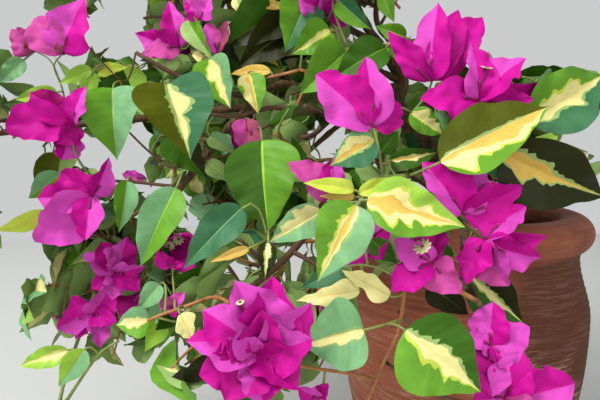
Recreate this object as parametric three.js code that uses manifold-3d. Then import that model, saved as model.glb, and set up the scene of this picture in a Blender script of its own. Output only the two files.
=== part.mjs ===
// A bougainvillea bush in flower, growing in a round clay pot that is filled with soil.
// Millimetres, +Z up. The origin is the middle of the pot's flat underside, and the front is -Y.
import * as THREE from 'three';
import { mergeVertices } from 'three/addons/utils/BufferGeometryUtils.js';
import Module from 'manifold-3d';

const wasm = await Module();
wasm.setup();

// Clearance between two solids that touch in the real plant
const GAP = 0.3;

// Edges left by a boolean that are shorter than this are merged
const SMALLEST_EDGE = 0.02;

// Pot: a foot, a round belly, a short neck and a broad rolled lip
const POT_HEIGHT = 300;
const FOOT_RADIUS = 98;
const BELLY_RADIUS = 134;
const BELLY_HEIGHT = 190;
const BELLY_FULLNESS = 2.2;
const NECK_RADIUS = 121;
const NECK_HEIGHT = 258;
const LIP_MIDDLE_RADIUS = 114;
const LIP_HALF_WIDTH = 20;
const LIP_HALF_HEIGHT = 19;
const LIP_ARC = [-65, 180];
const POT_WALL = 13;
const POT_FLOOR = 18;
const POT_SIDES = 30;
const FOOT_TO_BELLY_RINGS = 6;
const INNER_RINGS = 4;
const NECK_RINGS = 4;
const LIP_RINGS = 8;

// Soil: flat round the trunk, a little lower at the pot's wall
const SOIL_HEIGHT = 268;
const SOIL_FLAT_RADIUS = 84;
const SOIL_EDGE_RADIUS = 103;
const SOIL_EDGE_DROP = 4;

// Trunk: its foot in the soil, its crooked way up to the fork, and its radii
const TRUNK_WAY = [
  [-4, -12, 246],
  [-10, -14, 290],
  [-36, -24, 346],
  [-56, -31, 388],
  [-82, -35, 415],
  [-79, -36, 436],
  [-84, -37, 454],
];
const TRUNK_RADIUS = 10.5;
const FORK_RADIUS = 7;
const FLARE_RADIUS = 8;
const FLARE_LENGTH = 0.16;
const FLARE_LOBES = 5;
const FLARE_LOBE_DEPTH = 0.45;
const TRUNK_SIDES = 15;
const TRUNK_STEPS = 14;
const GROUND_BLOCK = [200, 200, 100];

// Limbs, stems and twigs
const LIMB_SIDES = 5;
const LIMB_STEPS = 6;
const SHORTEST_BOUGH = 36;
const STEM_SIDES = 5;
const STEM_STEPS = 3;
const STEM_END_RADIUS = 2.6;
const STEM_PAST_CENTRE = 0.3;
const STEM_PULL = 0.45;
const TWIG_SIDES = 3;
const TWIG_TO_STEM = 0.72;
const TWIG_TO_TWIG = 0.55;
const TWIG_TAPER = 0.7;
const TWIGS_PER_MASS = 16;
const TWIG_REACH = [0.5, 0.86];
const SHORTEST_TWIG = 14;
const STEM_PERCHES = 6;
const STEM_PERCH_SPAN = [0.25, 0.97];
const TWIG_PERCH = 0.5;
const SAMPLE_STEP = 3;
const TWIG_SAMPLES = 14;

// Leaves and blossom: each leaf and each bract is a folded blade of eight faces
const LEAF_LENGTH = 98;
const LEAF_WIDTH = 70;
const BRACT_LENGTH = 62;
const BRACT_WIDTH = 50;
const BLADE_THICKNESS = 3;
const BLADE_SHOULDER = 0.38;
const BLADE_RIB = 0.2;
const BLADE_FOLD = 0.13;
const TRIES = 14;
const SHRINK = 0.03;
const LEAVES_ON_A_TWIG = 4;
const FIRST_LEAF = 0.97;
const LEAF_STEP = 0.22;
const LEAF_TURN = 2.4;
const LEAF_HEADING = { along: 0.45, aside: 0.9, stray: 0.75, droop: 0.2 };
const LEAF_FACE = { up: 0.5, stray: 0.6 };
const BRACTS_IN_A_BLOOM = 3;
const BRACT_HEADING = { aside: 1.1, stray: 0.2 };
const BRACT_CUP = 0.4;

// Clear room round limbs, pot and the spaces of other masses
const LIMB_ROOM = 7;
const TWIG_ROOM = 1;
const POT_ROOM = 5;
const BLADE_ROOM = 7.5;
const SPACE_ROOM = 0.25;
const ENTRY_ROOM = 6;

// Masses of foliage: each keeps to a rounded space of its own, middle and half sizes given.
// bloom is the share of its twigs that end in blossom.
const MASSES = {
  front: { middle: [-62, -240, 275], reach: [92, 82, 122], bloom: 0.5, seed: 11 },
  front_left: { middle: [-218, -240, 280], reach: [94, 84, 96], bloom: 0.5, seed: 13 },
  centre: { middle: [-165, -184, 400], reach: [98, 94, 88], bloom: 0.3, seed: 14 },
  right: { middle: [6, -150, 400], reach: [98, 94, 66], bloom: 0.4, seed: 15 },
  high_front: { middle: [-112, -110, 500], reach: [98, 98, 98], bloom: 0.5, seed: 16 },
  left_middle: { middle: [-298, -124, 446], reach: [102, 100, 98], bloom: 0.3, seed: 17 },
  left_tip: { middle: [-430, -140, 384], reach: [108, 100, 100], bloom: 0.5, seed: 18 },
  left_low: { middle: [-352, -128, 262], reach: [100, 94, 92], bloom: 0.5, seed: 20 },
  left_high: { middle: [-330, -24, 548], reach: [112, 112, 98], bloom: 0.4, seed: 19 },
  top: { middle: [-174, 2, 606], reach: [116, 112, 112], bloom: 0.5, seed: 21 },
  back: { middle: [-176, 116, 468], reach: [112, 104, 104], bloom: 0.4, seed: 23 },
  back_left: { middle: [-360, 80, 420], reach: [112, 106, 108], bloom: 0.4, seed: 24 },
  back_low: { middle: [-234, 118, 310], reach: [112, 104, 98], bloom: 0.3, seed: 25 },
  back_right: { middle: [8, 100, 378], reach: [118, 96, 72], bloom: 0.4, seed: 31 },
};

// Boughs, each named for the mass it carries: the limb it leaves, how far along that limb,
// how far the middle of its arch is pulled aside, and its radii at root and tip.
const BOUGHS = {
  top: { from: 'trunk', at: 0.985, bow: [-14, -14, 0], radii: [6.2, 3.6] },
  left_tip: { from: 'trunk', at: 0.9, bow: [10, -34, -4], radii: [5.2, 3.4] },
  centre: { from: 'trunk', at: 0.62, bow: [10, -8, 12], radii: [4.6, 3.4] },
  back: { from: 'trunk', at: 0.74, bow: [12, 4, 14], radii: [4.8, 3.4] },
  front: { from: 'trunk', at: 0.3, bow: [6, -4, 44], radii: [4.8, 3.4] },
  right: { from: 'trunk', at: 0.48, bow: [10, 6, 14], radii: [4.6, 3.2] },
  back_right: { from: 'trunk', at: 0.3, bow: [4, -2, 18], radii: [4.6, 3.2] },
  front_left: { from: 'centre', at: 0.42, bow: [-8, -6, 30], radii: [4, 3.2] },
  high_front: { from: 'top', at: 0.16, bow: [8, -8, 2], radii: [4.2, 3.2] },
  left_high: { from: 'top', at: 0.3, bow: [4, -10, 18], radii: [4.2, 3.2] },
  left_middle: { from: 'left_tip', at: 0.34, bow: [-4, -2, 16], radii: [3.8, 3.2] },
  left_low: { from: 'left_tip', at: 0.56, bow: [6, -4, 10], radii: [3.8, 3.2] },
  back_left: { from: 'back', at: 0.4, bow: [-4, 4, 20], radii: [4, 3.2] },
  back_low: { from: 'back', at: 0.66, bow: [6, 10, 6], radii: [3.8, 3.2] },
};

const UP = new THREE.Vector3(0, 0, 1);
const vector = (list) => new THREE.Vector3(...list);

// Closed solid from a three.js geometry, and back
function solidFrom(geometry) {
  const bare = geometry.clone();
  bare.deleteAttribute('normal');
  bare.deleteAttribute('uv');
  const merged = mergeVertices(bare, 1e-4);
  return new wasm.Manifold(
    new wasm.Mesh({
      numProp: 3,
      vertProperties: new Float32Array(merged.getAttribute('position').array),
      triVerts: new Uint32Array(merged.index.array),
    }),
  );
}

function geometryFrom(solid) {
  const mesh = solid.getMesh();
  const geometry = new THREE.BufferGeometry();
  geometry.setAttribute('position', new THREE.BufferAttribute(mesh.vertProperties, 3));
  geometry.setIndex(new THREE.BufferAttribute(mesh.triVerts, 1));
  geometry.computeVertexNormals();
  return geometry;
}

// The largest body of a solid, with tiny edges merged, loose scraps dropped and sealed hollows filled
function largestBody(solid) {
  const bodies = solid.simplify(SMALLEST_EDGE).decompose();
  return bodies.reduce((best, body) => (body.volume() > best.volume() ? body : best));
}

// Seeded random numbers from 0 to 1
function seeded(seed) {
  let state = seed;
  return () => {
    state = (state + 0x6d2b79f5) >>> 0;
    let mixed = Math.imul(state ^ (state >>> 15), state | 1);
    mixed ^= mixed + Math.imul(mixed ^ (mixed >>> 7), mixed | 61);
    return ((mixed ^ (mixed >>> 14)) >>> 0) / 4294967296;
  };
}

function randomVector(random) {
  const height = 2 * random() - 1;
  const turn = 2 * Math.PI * random();
  const across = Math.sqrt(1 - height * height);
  return new THREE.Vector3(across * Math.cos(turn), across * Math.sin(turn), height);
}

// Pot outline: outer radius at a height below the lip
function outerRadius(z) {
  if (z <= BELLY_HEIGHT) {
    const below = Math.pow(1 - z / BELLY_HEIGHT, BELLY_FULLNESS);
    return BELLY_RADIUS - (BELLY_RADIUS - FOOT_RADIUS) * below;
  }
  const rise = Math.min((z - BELLY_HEIGHT) / (NECK_HEIGHT - BELLY_HEIGHT), 1);
  return NECK_RADIUS + (BELLY_RADIUS - NECK_RADIUS) * (0.5 + 0.5 * Math.cos(Math.PI * rise));
}

// Evenly spaced values between two ends
function evenly(from, to, count) {
  return Array.from({ length: count }, (_, i) => from + ((to - from) * i) / (count - 1));
}

const innerHeights = [
  ...evenly(POT_FLOOR, BELLY_HEIGHT, INNER_RINGS),
  ...evenly(BELLY_HEIGHT, NECK_HEIGHT, NECK_RINGS).slice(1),
];

function lathe(profile) {
  const points = profile.map(([radius, z]) => new THREE.Vector2(radius, z));
  return new THREE.LatheGeometry(points, POT_SIDES).rotateX(Math.PI / 2);
}

function potGeometry() {
  const belly = evenly(0, BELLY_HEIGHT, FOOT_TO_BELLY_RINGS);
  const outside = [...belly, ...evenly(BELLY_HEIGHT, NECK_HEIGHT, NECK_RINGS).slice(1)];
  const lip = evenly(...LIP_ARC, LIP_RINGS).map((degrees) => {
    const angle = THREE.MathUtils.degToRad(degrees);
    const z = POT_HEIGHT - LIP_HALF_HEIGHT + LIP_HALF_HEIGHT * Math.sin(angle);
    return [LIP_MIDDLE_RADIUS + LIP_HALF_WIDTH * Math.cos(angle), z];
  });
  return lathe([
    [0, 0],
    ...outside.map((z) => [outerRadius(z), z]),
    ...lip,
    ...innerHeights.map((z) => [outerRadius(z) - POT_WALL, z]).reverse(),
    [0, POT_FLOOR],
  ]);
}

function soilGeometry() {
  const edgeHeight = SOIL_HEIGHT - SOIL_EDGE_DROP;
  const wall = innerHeights.map((z) => [outerRadius(z) - POT_WALL - 2 * GAP, z]);
  wall[0][1] = POT_FLOOR + GAP;
  return lathe([
    [0, POT_FLOOR + GAP],
    ...wall,
    [SOIL_EDGE_RADIUS, edgeHeight],
    [SOIL_FLAT_RADIUS, SOIL_HEIGHT],
    [0, SOIL_HEIGHT],
  ]);
}

// A tapering limb round a curve: radiusAt gives its radius at a share of the length and an angle
function limbGeometry(curve, radiusAt, sides, steps) {
  const geometry = new THREE.CylinderGeometry(1, 1, 1, sides, steps);
  const frames = curve.computeFrenetFrames(steps, false);
  const place = geometry.getAttribute('position');
  for (let i = 0; i < place.count; i += 1) {
    const share = THREE.MathUtils.clamp(place.getY(i) + 0.5, 0, 1);
    const step = Math.round(share * steps);
    const angle = Math.atan2(place.getZ(i), place.getX(i));
    const radius = radiusAt(share, angle);
    const point = curve.getPointAt(share);
    point.addScaledVector(frames.normals[step], place.getX(i) * radius);
    point.addScaledVector(frames.binormals[step], -place.getZ(i) * radius);
    place.setXYZ(i, point.x, point.y, point.z);
  }
  return geometry;
}

// A limb keeps its curve, its radii, and sample points along its axis for the tests of clear room
function limbOf(curve, radiusAt, sides, steps) {
  const axis = curve.getSpacedPoints(Math.ceil(curve.getLength() / SAMPLE_STEP));
  const samples = axis.map((point, i) => ({ point, radius: radiusAt(i / (axis.length - 1), 0) }));
  const solidWith = (extra) => {
    return solidFrom(limbGeometry(curve, (share, angle) => radiusAt(share, angle) + extra, sides, steps));
  };
  return { curve, samples, solidWith };
}

function trunkRadius(share, angle) {
  const taper = THREE.MathUtils.lerp(TRUNK_RADIUS, FORK_RADIUS, share);
  const flare = FLARE_RADIUS * Math.exp(-share / FLARE_LENGTH);
  return taper + flare * (1 + FLARE_LOBE_DEPTH * Math.cos(FLARE_LOBES * angle));
}

function makeTrunk() {
  const curve = new THREE.CatmullRomCurve3(TRUNK_WAY.map(vector));
  return limbOf(curve, trunkRadius, TRUNK_SIDES, TRUNK_STEPS);
}

function trunkSolid(trunk) {
  const ground = new THREE.BoxGeometry(...GROUND_BLOCK);
  const [x, y] = TRUNK_WAY[0];
  ground.translate(x, y, SOIL_HEIGHT + GAP - GROUND_BLOCK[2] / 2);
  return largestBody(trunk.solidWith(0).subtract(solidFrom(ground)));
}

// The space of a mass: inside its ellipsoid, and on its own side of a plane to each neighbour
function roundness(mass, point) {
  const away = point.clone().sub(vector(mass.middle));
  return away.divide(vector(mass.reach)).length();
}

function planesOf(name) {
  const own = MASSES[name];
  const size = (mass) => (mass.reach[0] + mass.reach[1] + mass.reach[2]) / 3;
  return Object.entries(MASSES)
    .filter(([other]) => other !== name)
    .map(([, mass]) => {
      const normal = vector(mass.middle).sub(vector(own.middle));
      const share = size(own) / (size(own) + size(mass));
      const point = vector(own.middle).addScaledVector(normal, share);
      return new THREE.Plane().setFromNormalAndCoplanarPoint(normal.normalize(), point);
    });
}

function insideSpace(name, planes, point, room) {
  const shrink = 1 - room / Math.min(...MASSES[name].reach);
  if (roundness(MASSES[name], point) > shrink) return false;
  return planes.every((plane) => plane.distanceToPoint(point) < -room);
}

function clearOfPot(point, room) {
  const across = Math.hypot(point.x, point.y);
  if (point.z > POT_HEIGHT + room) return true;
  if (point.z > NECK_HEIGHT) return across > LIP_MIDDLE_RADIUS + LIP_HALF_WIDTH + room;
  return across > outerRadius(Math.max(point.z, 0)) + room;
}

function clearOfLimbs(limbs, point, room) {
  return limbs.every((limb) => {
    return limb.samples.every((sample) => sample.point.distanceTo(point) > sample.radius + room);
  });
}

// A bough arches from its parent limb to the edge of its mass, which it enters and ends in
function makeBough(name, limbs) {
  const { from, at, bow, radii } = BOUGHS[name];
  const middle = vector(MASSES[name].middle);
  const planes = planesOf(name);
  const root = limbs[from].curve.getPointAt(at);
  const step = middle.clone().sub(root).setLength(1);
  const tip = root.clone().addScaledVector(step, SHORTEST_BOUGH);
  while (!insideSpace(name, planes, tip, ENTRY_ROOM)) tip.add(step);
  const pull = root.clone().lerp(tip, 0.5).add(vector(bow));
  const curve = new THREE.QuadraticBezierCurve3(root, pull, tip);
  const radiusAt = (share) => THREE.MathUtils.lerp(radii[0], radii[1], share);
  return limbOf(curve, radiusAt, LIMB_SIDES, LIMB_STEPS);
}

// The stem of a mass goes on from its bough's tip, a gap clear of it, past the middle of the mass
function makeStem(name, bough) {
  const tip = bough.curve.getPointAt(1);
  const heading = bough.curve.getTangentAt(1);
  const middle = vector(MASSES[name].middle);
  const start = tip.clone().addScaledVector(heading, GAP);
  const end = middle.clone().lerp(start, -STEM_PAST_CENTRE);
  const pull = start.clone().addScaledVector(heading, STEM_PULL * start.distanceTo(middle));
  const curve = new THREE.QuadraticBezierCurve3(start, pull, end);
  const startRadius = BOUGHS[name].radii[1];
  const radiusAt = (share) => THREE.MathUtils.lerp(startRadius, STEM_END_RADIUS, share);
  return limbOf(curve, radiusAt, STEM_SIDES, STEM_STEPS);
}

// A three-sided twig between two points
function twigGeometry(start, end, radius) {
  const along = end.clone().sub(start);
  const geometry = new THREE.CylinderGeometry(radius * TWIG_TAPER, radius, along.length(), TWIG_SIDES);
  geometry.translate(0, along.length() / 2, 0);
  const turn = new THREE.Quaternion().setFromUnitVectors(new THREE.Vector3(0, 1, 0), along.normalize());
  return geometry.applyQuaternion(turn).translate(start.x, start.y, start.z);
}

// A folded blade: root, tip, two shoulders raised by the fold, and a rib above and below
function bladeGeometry(root, heading, face, length, width) {
  const geometry = new THREE.OctahedronGeometry(1);
  const place = geometry.getAttribute('position');
  for (let i = 0; i < place.count; i += 1) {
    const [x, y, z] = [place.getX(i), place.getY(i), place.getZ(i)];
    const aside = Math.abs(y) * BLADE_SHOULDER + Math.abs(z) * BLADE_RIB;
    const along = length * (Math.max(x, 0) + aside);
    place.setXYZ(i, along, (y * width) / 2, (z * BLADE_THICKNESS) / 2 + Math.abs(y) * BLADE_FOLD * width);
  }
  const side = face.clone().cross(heading).normalize();
  const normal = heading.clone().cross(side).normalize();
  const frame = new THREE.Matrix4().makeBasis(heading, side, normal).setPosition(root);
  return geometry.applyMatrix4(frame);
}

const corners = (geometry) => {
  const place = geometry.getAttribute('position');
  return Array.from({ length: place.count }, (_, i) => new THREE.Vector3().fromBufferAttribute(place, i));
};

// Points spread over a blade, for the tests of clear room
const BLADE_SPOTS = [
  [0.2, 0], [0.2, 0.5], [0.2, -0.5], [0.38, 1], [0.38, 0.5], [0.38, 0], [0.38, -0.5], [0.38, -1],
  [0.55, 0.7], [0.55, 0.3], [0.55, -0.3], [0.55, -0.7], [0.75, 0.3], [0.75, -0.3], [0.9, 0], [1, 0],
];

function bladeSpots(root, heading, face, length, width) {
  const side = face.clone().cross(heading).normalize();
  return BLADE_SPOTS.map(([along, aside]) => {
    const point = root.clone().addScaledVector(heading, along * length);
    return point.addScaledVector(side, (aside * width) / 2);
  });
}

const clearOfPoints = (points, point, room) => points.every((other) => other.distanceTo(point) > room);

const clearOfBarrier = (space, geometry) => space.barrier.intersect(solidFrom(geometry)).isEmpty();

function bladeFits(space, geometry, spots, near) {
  return (
    corners(geometry).every((point) => insideSpace(space.name, space.planes, point, SPACE_ROOM)) &&
    spots.every((point) => {
      return (
        clearOfPot(point, POT_ROOM) &&
        clearOfLimbs(space.limbs, point, LIMB_ROOM) &&
        clearOfPoints(near, point, BLADE_ROOM)
      );
    }) &&
    clearOfBarrier(space, geometry)
  );
}

function twigFits(space, geometry, points, blades) {
  return (
    points.every((point) => {
      return (
        insideSpace(space.name, space.planes, point, STEM_END_RADIUS + SPACE_ROOM) &&
        clearOfPot(point, POT_ROOM) &&
        clearOfPoints(blades, point, BLADE_ROOM)
      );
    }) && clearOfBarrier(space, geometry)
  );
}

// Evenly spread points in the outer part of a mass, nearest to its stem's start first
function twigEnds(name, start, random) {
  const { middle, reach } = MASSES[name];
  const turn = 2 * Math.PI * random();
  const ends = Array.from({ length: TWIGS_PER_MASS }, (_, i) => {
    const height = 1 - (2 * (i + 0.5)) / TWIGS_PER_MASS;
    const angle = turn + i * Math.PI * (3 - Math.sqrt(5));
    const across = Math.sqrt(1 - height * height);
    const share = THREE.MathUtils.lerp(TWIG_REACH[0], TWIG_REACH[1], random());
    const away = new THREE.Vector3(across * Math.cos(angle), across * Math.sin(angle), height);
    return away.multiplyScalar(share).multiply(vector(reach)).add(vector(middle));
  });
  return ends.sort((a, b) => a.distanceTo(start) - b.distanceTo(start));
}

// One mass: twigs grow from the nearest perch on the stem or an earlier twig, and carry blades
function growMass(name, stem, limbs, barrier) {
  const random = seeded(MASSES[name].seed);
  const space = { name, planes: planesOf(name), limbs, barrier };
  const middle = vector(MASSES[name].middle);
  const perches = evenly(...STEM_PERCH_SPAN, STEM_PERCHES).map((share) => {
    return { point: stem.curve.getPointAt(share), radius: STEM_END_RADIUS * TWIG_TO_STEM };
  });
  const wood = stem.samples.map((sample) => sample.point);
  const blades = [];
  let solid = stem.solidWith(0);

  const addBlade = (root, headingOf, faceOf, length, width, others) => {
    for (let i = 0; i < TRIES; i += 1) {
      const size = 1 - SHRINK * i;
      const shape = [root, headingOf().normalize(), faceOf(), size * length, size * width];
      const geometry = bladeGeometry(...shape);
      const spots = bladeSpots(...shape);
      if (bladeFits(space, geometry, spots, others)) {
        solid = solid.add(solidFrom(geometry));
        return spots;
      }
    }
    return [];
  };

  const addLeaf = (root, along, sideways) => {
    const headingOf = () => {
      const heading = along.clone().multiplyScalar(LEAF_HEADING.along);
      heading.addScaledVector(sideways, LEAF_HEADING.aside);
      heading.addScaledVector(randomVector(random), LEAF_HEADING.stray);
      return heading.addScaledVector(UP, -LEAF_HEADING.droop);
    };
    const faceOf = () => {
      const face = root.clone().sub(middle).normalize().addScaledVector(UP, LEAF_FACE.up);
      return face.addScaledVector(randomVector(random), LEAF_FACE.stray);
    };
    blades.push(...addBlade(root, headingOf, faceOf, LEAF_LENGTH, LEAF_WIDTH, [...blades, ...wood]));
  };

  const addBloom = (root, along) => {
    const across = randomVector(random).cross(along).normalize();
    const others = [...blades, ...wood];
    for (let i = 0; i < BRACTS_IN_A_BLOOM; i += 1) {
      const outwards = across.clone().applyAxisAngle(along, (i * 2 * Math.PI) / BRACTS_IN_A_BLOOM);
      const headingOf = () => {
        const heading = along.clone().addScaledVector(outwards, BRACT_HEADING.aside);
        return heading.addScaledVector(randomVector(random), BRACT_HEADING.stray);
      };
      const faceOf = () => along.clone().addScaledVector(outwards, -BRACT_CUP);
      blades.push(...addBlade(root, headingOf, faceOf, BRACT_LENGTH, BRACT_WIDTH, others));
    }
  };

  for (const end of twigEnds(name, perches[0].point, random)) {
    const distance = (perch) => perch.point.distanceTo(end);
    const perch = perches.reduce((best, other) => (distance(other) < distance(best) ? other : best));
    const blooms = random() < MASSES[name].bloom;
    if (distance(perch) < SHORTEST_TWIG) continue;
    const geometry = twigGeometry(perch.point, end, perch.radius);
    const points = evenly(0, 1, TWIG_SAMPLES).map((share) => perch.point.clone().lerp(end, share));
    if (!twigFits(space, geometry, points, blades)) continue;
    solid = solid.add(solidFrom(geometry));
    perches.push({ point: perch.point.clone().lerp(end, TWIG_PERCH), radius: perch.radius * TWIG_TO_TWIG });
    wood.push(...points);
    const along = end.clone().sub(perch.point).normalize();
    const across = randomVector(random).cross(along).normalize();
    if (blooms) addBloom(end.clone().addScaledVector(along, -perch.radius * TWIG_TAPER), along);
    for (let i = blooms ? 1 : 0; i < LEAVES_ON_A_TWIG; i += 1) {
      const root = perch.point.clone().lerp(end, FIRST_LEAF - LEAF_STEP * i);
      addLeaf(root, along, across.clone().applyAxisAngle(along, i * LEAF_TURN));
    }
  }
  return largestBody(solid);
}

// Looks of the three.js model
const CLAY = new THREE.Color(0x9a4f35);
const EARTH = new THREE.Color(0x3d2c20);
const BARK = new THREE.Color(0x4a3a2c);
const LEAF_GREEN = new THREE.Color(0x4d7a34);

const bush = new THREE.Group();

function addMesh(name, geometry, color, roughness) {
  const material = new THREE.MeshStandardMaterial({ color, roughness, metalness: 0 });
  const mesh = new THREE.Mesh(geometry, material);
  mesh.name = name;
  bush.add(mesh);
}

addMesh('pot', potGeometry(), CLAY, 0.85);
addMesh('soil', soilGeometry(), EARTH, 0.95);

const limbs = { trunk: makeTrunk() };
for (const name of Object.keys(BOUGHS)) limbs[name] = makeBough(name, limbs);

addMesh('trunk', geometryFrom(trunkSolid(limbs.trunk)), BARK, 0.9);
for (const name of Object.keys(BOUGHS)) {
  const parent = limbs[BOUGHS[name].from];
  const solid = largestBody(limbs[name].solidWith(0).subtract(parent.solidWith(GAP)));
  addMesh(`bough_${name}`, geometryFrom(solid), BARK, 0.9);
}

const limbList = Object.values(limbs);
const barrier = limbList.map((limb) => limb.solidWith(TWIG_ROOM)).reduce((all, limb) => all.add(limb));
for (const name of Object.keys(MASSES)) {
  const stem = makeStem(name, limbs[name]);
  const solid = growMass(name, stem, limbList, barrier);
  addMesh(`foliage_${name}`, geometryFrom(solid), LEAF_GREEN, 0.6);
}

export default bush;
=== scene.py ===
import math

import bmesh
import bpy
import numpy as np
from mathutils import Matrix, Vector, noise


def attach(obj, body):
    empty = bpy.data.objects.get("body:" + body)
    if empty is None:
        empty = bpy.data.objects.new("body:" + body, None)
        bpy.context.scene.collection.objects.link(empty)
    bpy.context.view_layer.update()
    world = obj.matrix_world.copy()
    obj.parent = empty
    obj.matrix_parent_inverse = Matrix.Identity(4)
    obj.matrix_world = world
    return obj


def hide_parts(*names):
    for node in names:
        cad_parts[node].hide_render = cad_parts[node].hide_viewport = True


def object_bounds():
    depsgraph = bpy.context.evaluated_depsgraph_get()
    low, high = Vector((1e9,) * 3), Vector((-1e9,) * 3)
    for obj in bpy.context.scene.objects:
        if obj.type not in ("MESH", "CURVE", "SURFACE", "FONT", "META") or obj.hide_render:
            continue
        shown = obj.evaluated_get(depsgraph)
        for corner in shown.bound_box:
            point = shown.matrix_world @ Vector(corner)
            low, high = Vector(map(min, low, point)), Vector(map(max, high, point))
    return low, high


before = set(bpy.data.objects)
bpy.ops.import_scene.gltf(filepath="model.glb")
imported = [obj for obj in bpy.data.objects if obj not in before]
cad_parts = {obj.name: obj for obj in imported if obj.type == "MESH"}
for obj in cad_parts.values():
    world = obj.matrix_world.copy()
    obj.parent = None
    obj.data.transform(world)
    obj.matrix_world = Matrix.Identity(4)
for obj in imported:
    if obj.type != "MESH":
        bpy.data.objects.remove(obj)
CAD_BOX = [list(corner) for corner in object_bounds()]

bl_info = {
    "name": "Bougainvillea Bush in a Clay Pot",
    "version": (1, 0, 0),
    "blender": (4, 5, 0),
    "location": "3D View > Sidebar > Bush",
    "description": "Dresses the packed bush with clay, bark, leaves and blossom",
    "category": "Object",
}

MM = 0.001
UP = np.array((0.0, 0.0, 1.0))

# The pot's size, and how far leaves may pass the box of the part, in metres
POT_RADIUS = 0.134
POT_HEIGHT = 0.3
BOX_ROOM = 0.006

# The growing rule of the part, in millimetres
GAP = 0.3
TRUNK_WAY = (
    (-4, -12, 246),
    (-10, -14, 290),
    (-36, -24, 346),
    (-56, -31, 388),
    (-82, -35, 415),
    (-79, -36, 436),
    (-84, -37, 454),
)
SHORTEST_BOUGH = 36
ENTRY_ROOM = 6
STEM_END_RADIUS = 2.6
STEM_PAST_CENTRE = 0.3
STEM_PULL = 0.45

# Each mass: middle, reach, share of twigs that bloom, seed
MASSES = {
    "front": ((-62, -240, 275), (92, 82, 122), 0.5, 11),
    "front_left": ((-218, -240, 280), (94, 84, 96), 0.5, 13),
    "centre": ((-165, -184, 400), (98, 94, 88), 0.3, 14),
    "right": ((6, -150, 400), (98, 94, 66), 0.4, 15),
    "high_front": ((-112, -110, 500), (98, 98, 98), 0.5, 16),
    "left_middle": ((-298, -124, 446), (102, 100, 98), 0.3, 17),
    "left_tip": ((-430, -140, 384), (108, 100, 100), 0.5, 18),
    "left_low": ((-352, -128, 262), (100, 94, 92), 0.5, 20),
    "left_high": ((-330, -24, 548), (112, 112, 98), 0.4, 19),
    "top": ((-174, 2, 606), (116, 112, 112), 0.5, 21),
    "back": ((-176, 116, 468), (112, 104, 104), 0.4, 23),
    "back_left": ((-360, 80, 420), (112, 106, 108), 0.4, 24),
    "back_low": ((-234, 118, 310), (112, 104, 98), 0.3, 25),
    "back_right": ((8, 100, 378), (118, 96, 72), 0.4, 31),
}

# Each bough: parent limb, place on it, bow of its arch, radii at its two ends
BOUGHS = {
    "top": ("trunk", 0.985, (-14, -14, 0), (6.2, 3.6)),
    "left_tip": ("trunk", 0.9, (10, -34, -4), (5.2, 3.4)),
    "centre": ("trunk", 0.62, (10, -8, 12), (4.6, 3.4)),
    "back": ("trunk", 0.74, (12, 4, 14), (4.8, 3.4)),
    "front": ("trunk", 0.3, (6, -4, 44), (4.8, 3.4)),
    "right": ("trunk", 0.48, (10, 6, 14), (4.6, 3.2)),
    "back_right": ("trunk", 0.3, (4, -2, 18), (4.6, 3.2)),
    "front_left": ("centre", 0.42, (-8, -6, 30), (4.0, 3.2)),
    "high_front": ("top", 0.16, (8, -8, 2), (4.2, 3.2)),
    "left_high": ("top", 0.3, (4, -10, 18), (4.2, 3.2)),
    "left_middle": ("left_tip", 0.34, (-4, -2, 16), (3.8, 3.2)),
    "left_low": ("left_tip", 0.56, (6, -4, 10), (3.8, 3.2)),
    "back_left": ("back", 0.4, (-4, 4, 20), (4.0, 3.2)),
    "back_low": ("back", 0.66, (6, 10, 6), (3.8, 3.2)),
}

# Masses whose leaves, twigs and blossom are joined into one piece of each kind
QUARTERS = {
    "front": ("front", "front_left", "centre", "right", "high_front"),
    "left": ("left_middle", "left_tip", "left_low", "left_high"),
    "back": ("top", "back", "back_left", "back_low", "back_right"),
}
QUARTER_OF = {mass: quarter for quarter, masses in QUARTERS.items() for mass in masses}

# The photograph's camera
CAMERA_PLACE = np.array((-0.184, -0.6, 0.38))
CAMERA_PITCH = math.radians(6.7)
CAMERA_LENS = 32
CAMERA_SENSOR = 36
CAMERA_RIGHT = np.array((1.0, 0.0, 0.0))
CAMERA_FORWARD = np.array((0.0, math.cos(CAMERA_PITCH), -math.sin(CAMERA_PITCH)))
CAMERA_UP = np.array((0.0, math.sin(CAMERA_PITCH), math.cos(CAMERA_PITCH)))
PHOTO_WIDTH = 600
PHOTO_HEIGHT = 400
PIXELS_PER_SLOPE = PHOTO_WIDTH * CAMERA_LENS / CAMERA_SENSOR

# Leaf shades, as red, green and blue from 0 to 255, and the shade of each one's midrib
LEAF_SHADES = {
    "deep": ((58, 98, 22), "mid"),
    "mid": ((100, 152, 42), "fresh"),
    "fresh": ((152, 194, 68), "young"),
    # Painted reflection of the sky on the top of a leaf
    "blue": ((120, 170, 116), "grey"),
    # A darker painted reflection of the sky
    "teal": ((62, 112, 74), "blue"),
    # A dark olive green, used also as painted shade on the shaded half of a leaf
    "olive": ((84, 92, 14), "fresh"),
    # Painted shade on a leaf in shadow
    "dark": ((38, 42, 10), "olive"),
    "under": ((142, 172, 98), "young"),
    "cream": ((232, 222, 148), "butter"),
    "butter": ((220, 182, 86), "cream"),
    "grey": ((150, 178, 104), "young"),
    "young": ((188, 204, 72), "butter"),
}

# Bract shades, and the shade that the lit half of such a bract takes
BRACT_SHADES = {
    "magenta": ((190, 12, 140), "bright"),
    # A lighter violet pink, partly a real tone and partly painted light on lit bracts
    "bright": ((204, 70, 176), "magenta"),
    # Painted shaded copies of magenta: shade and dark
    "shade": ((176, 8, 126), "magenta"),
    "dark": ((146, 10, 94), "shade"),
    "rose": ((192, 72, 148), "bright"),
    "dull": ((152, 70, 96), "rose"),
}


def paint(red, green, blue):
    """A screen colour as the linear colour that a shader takes."""
    levels = [channel / 255 for channel in (red, green, blue)]
    linear = [level / 12.92 if level < 0.04045 else ((level + 0.055) / 1.055) ** 2.4 for level in levels]
    return (*linear, 1.0)


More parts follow.
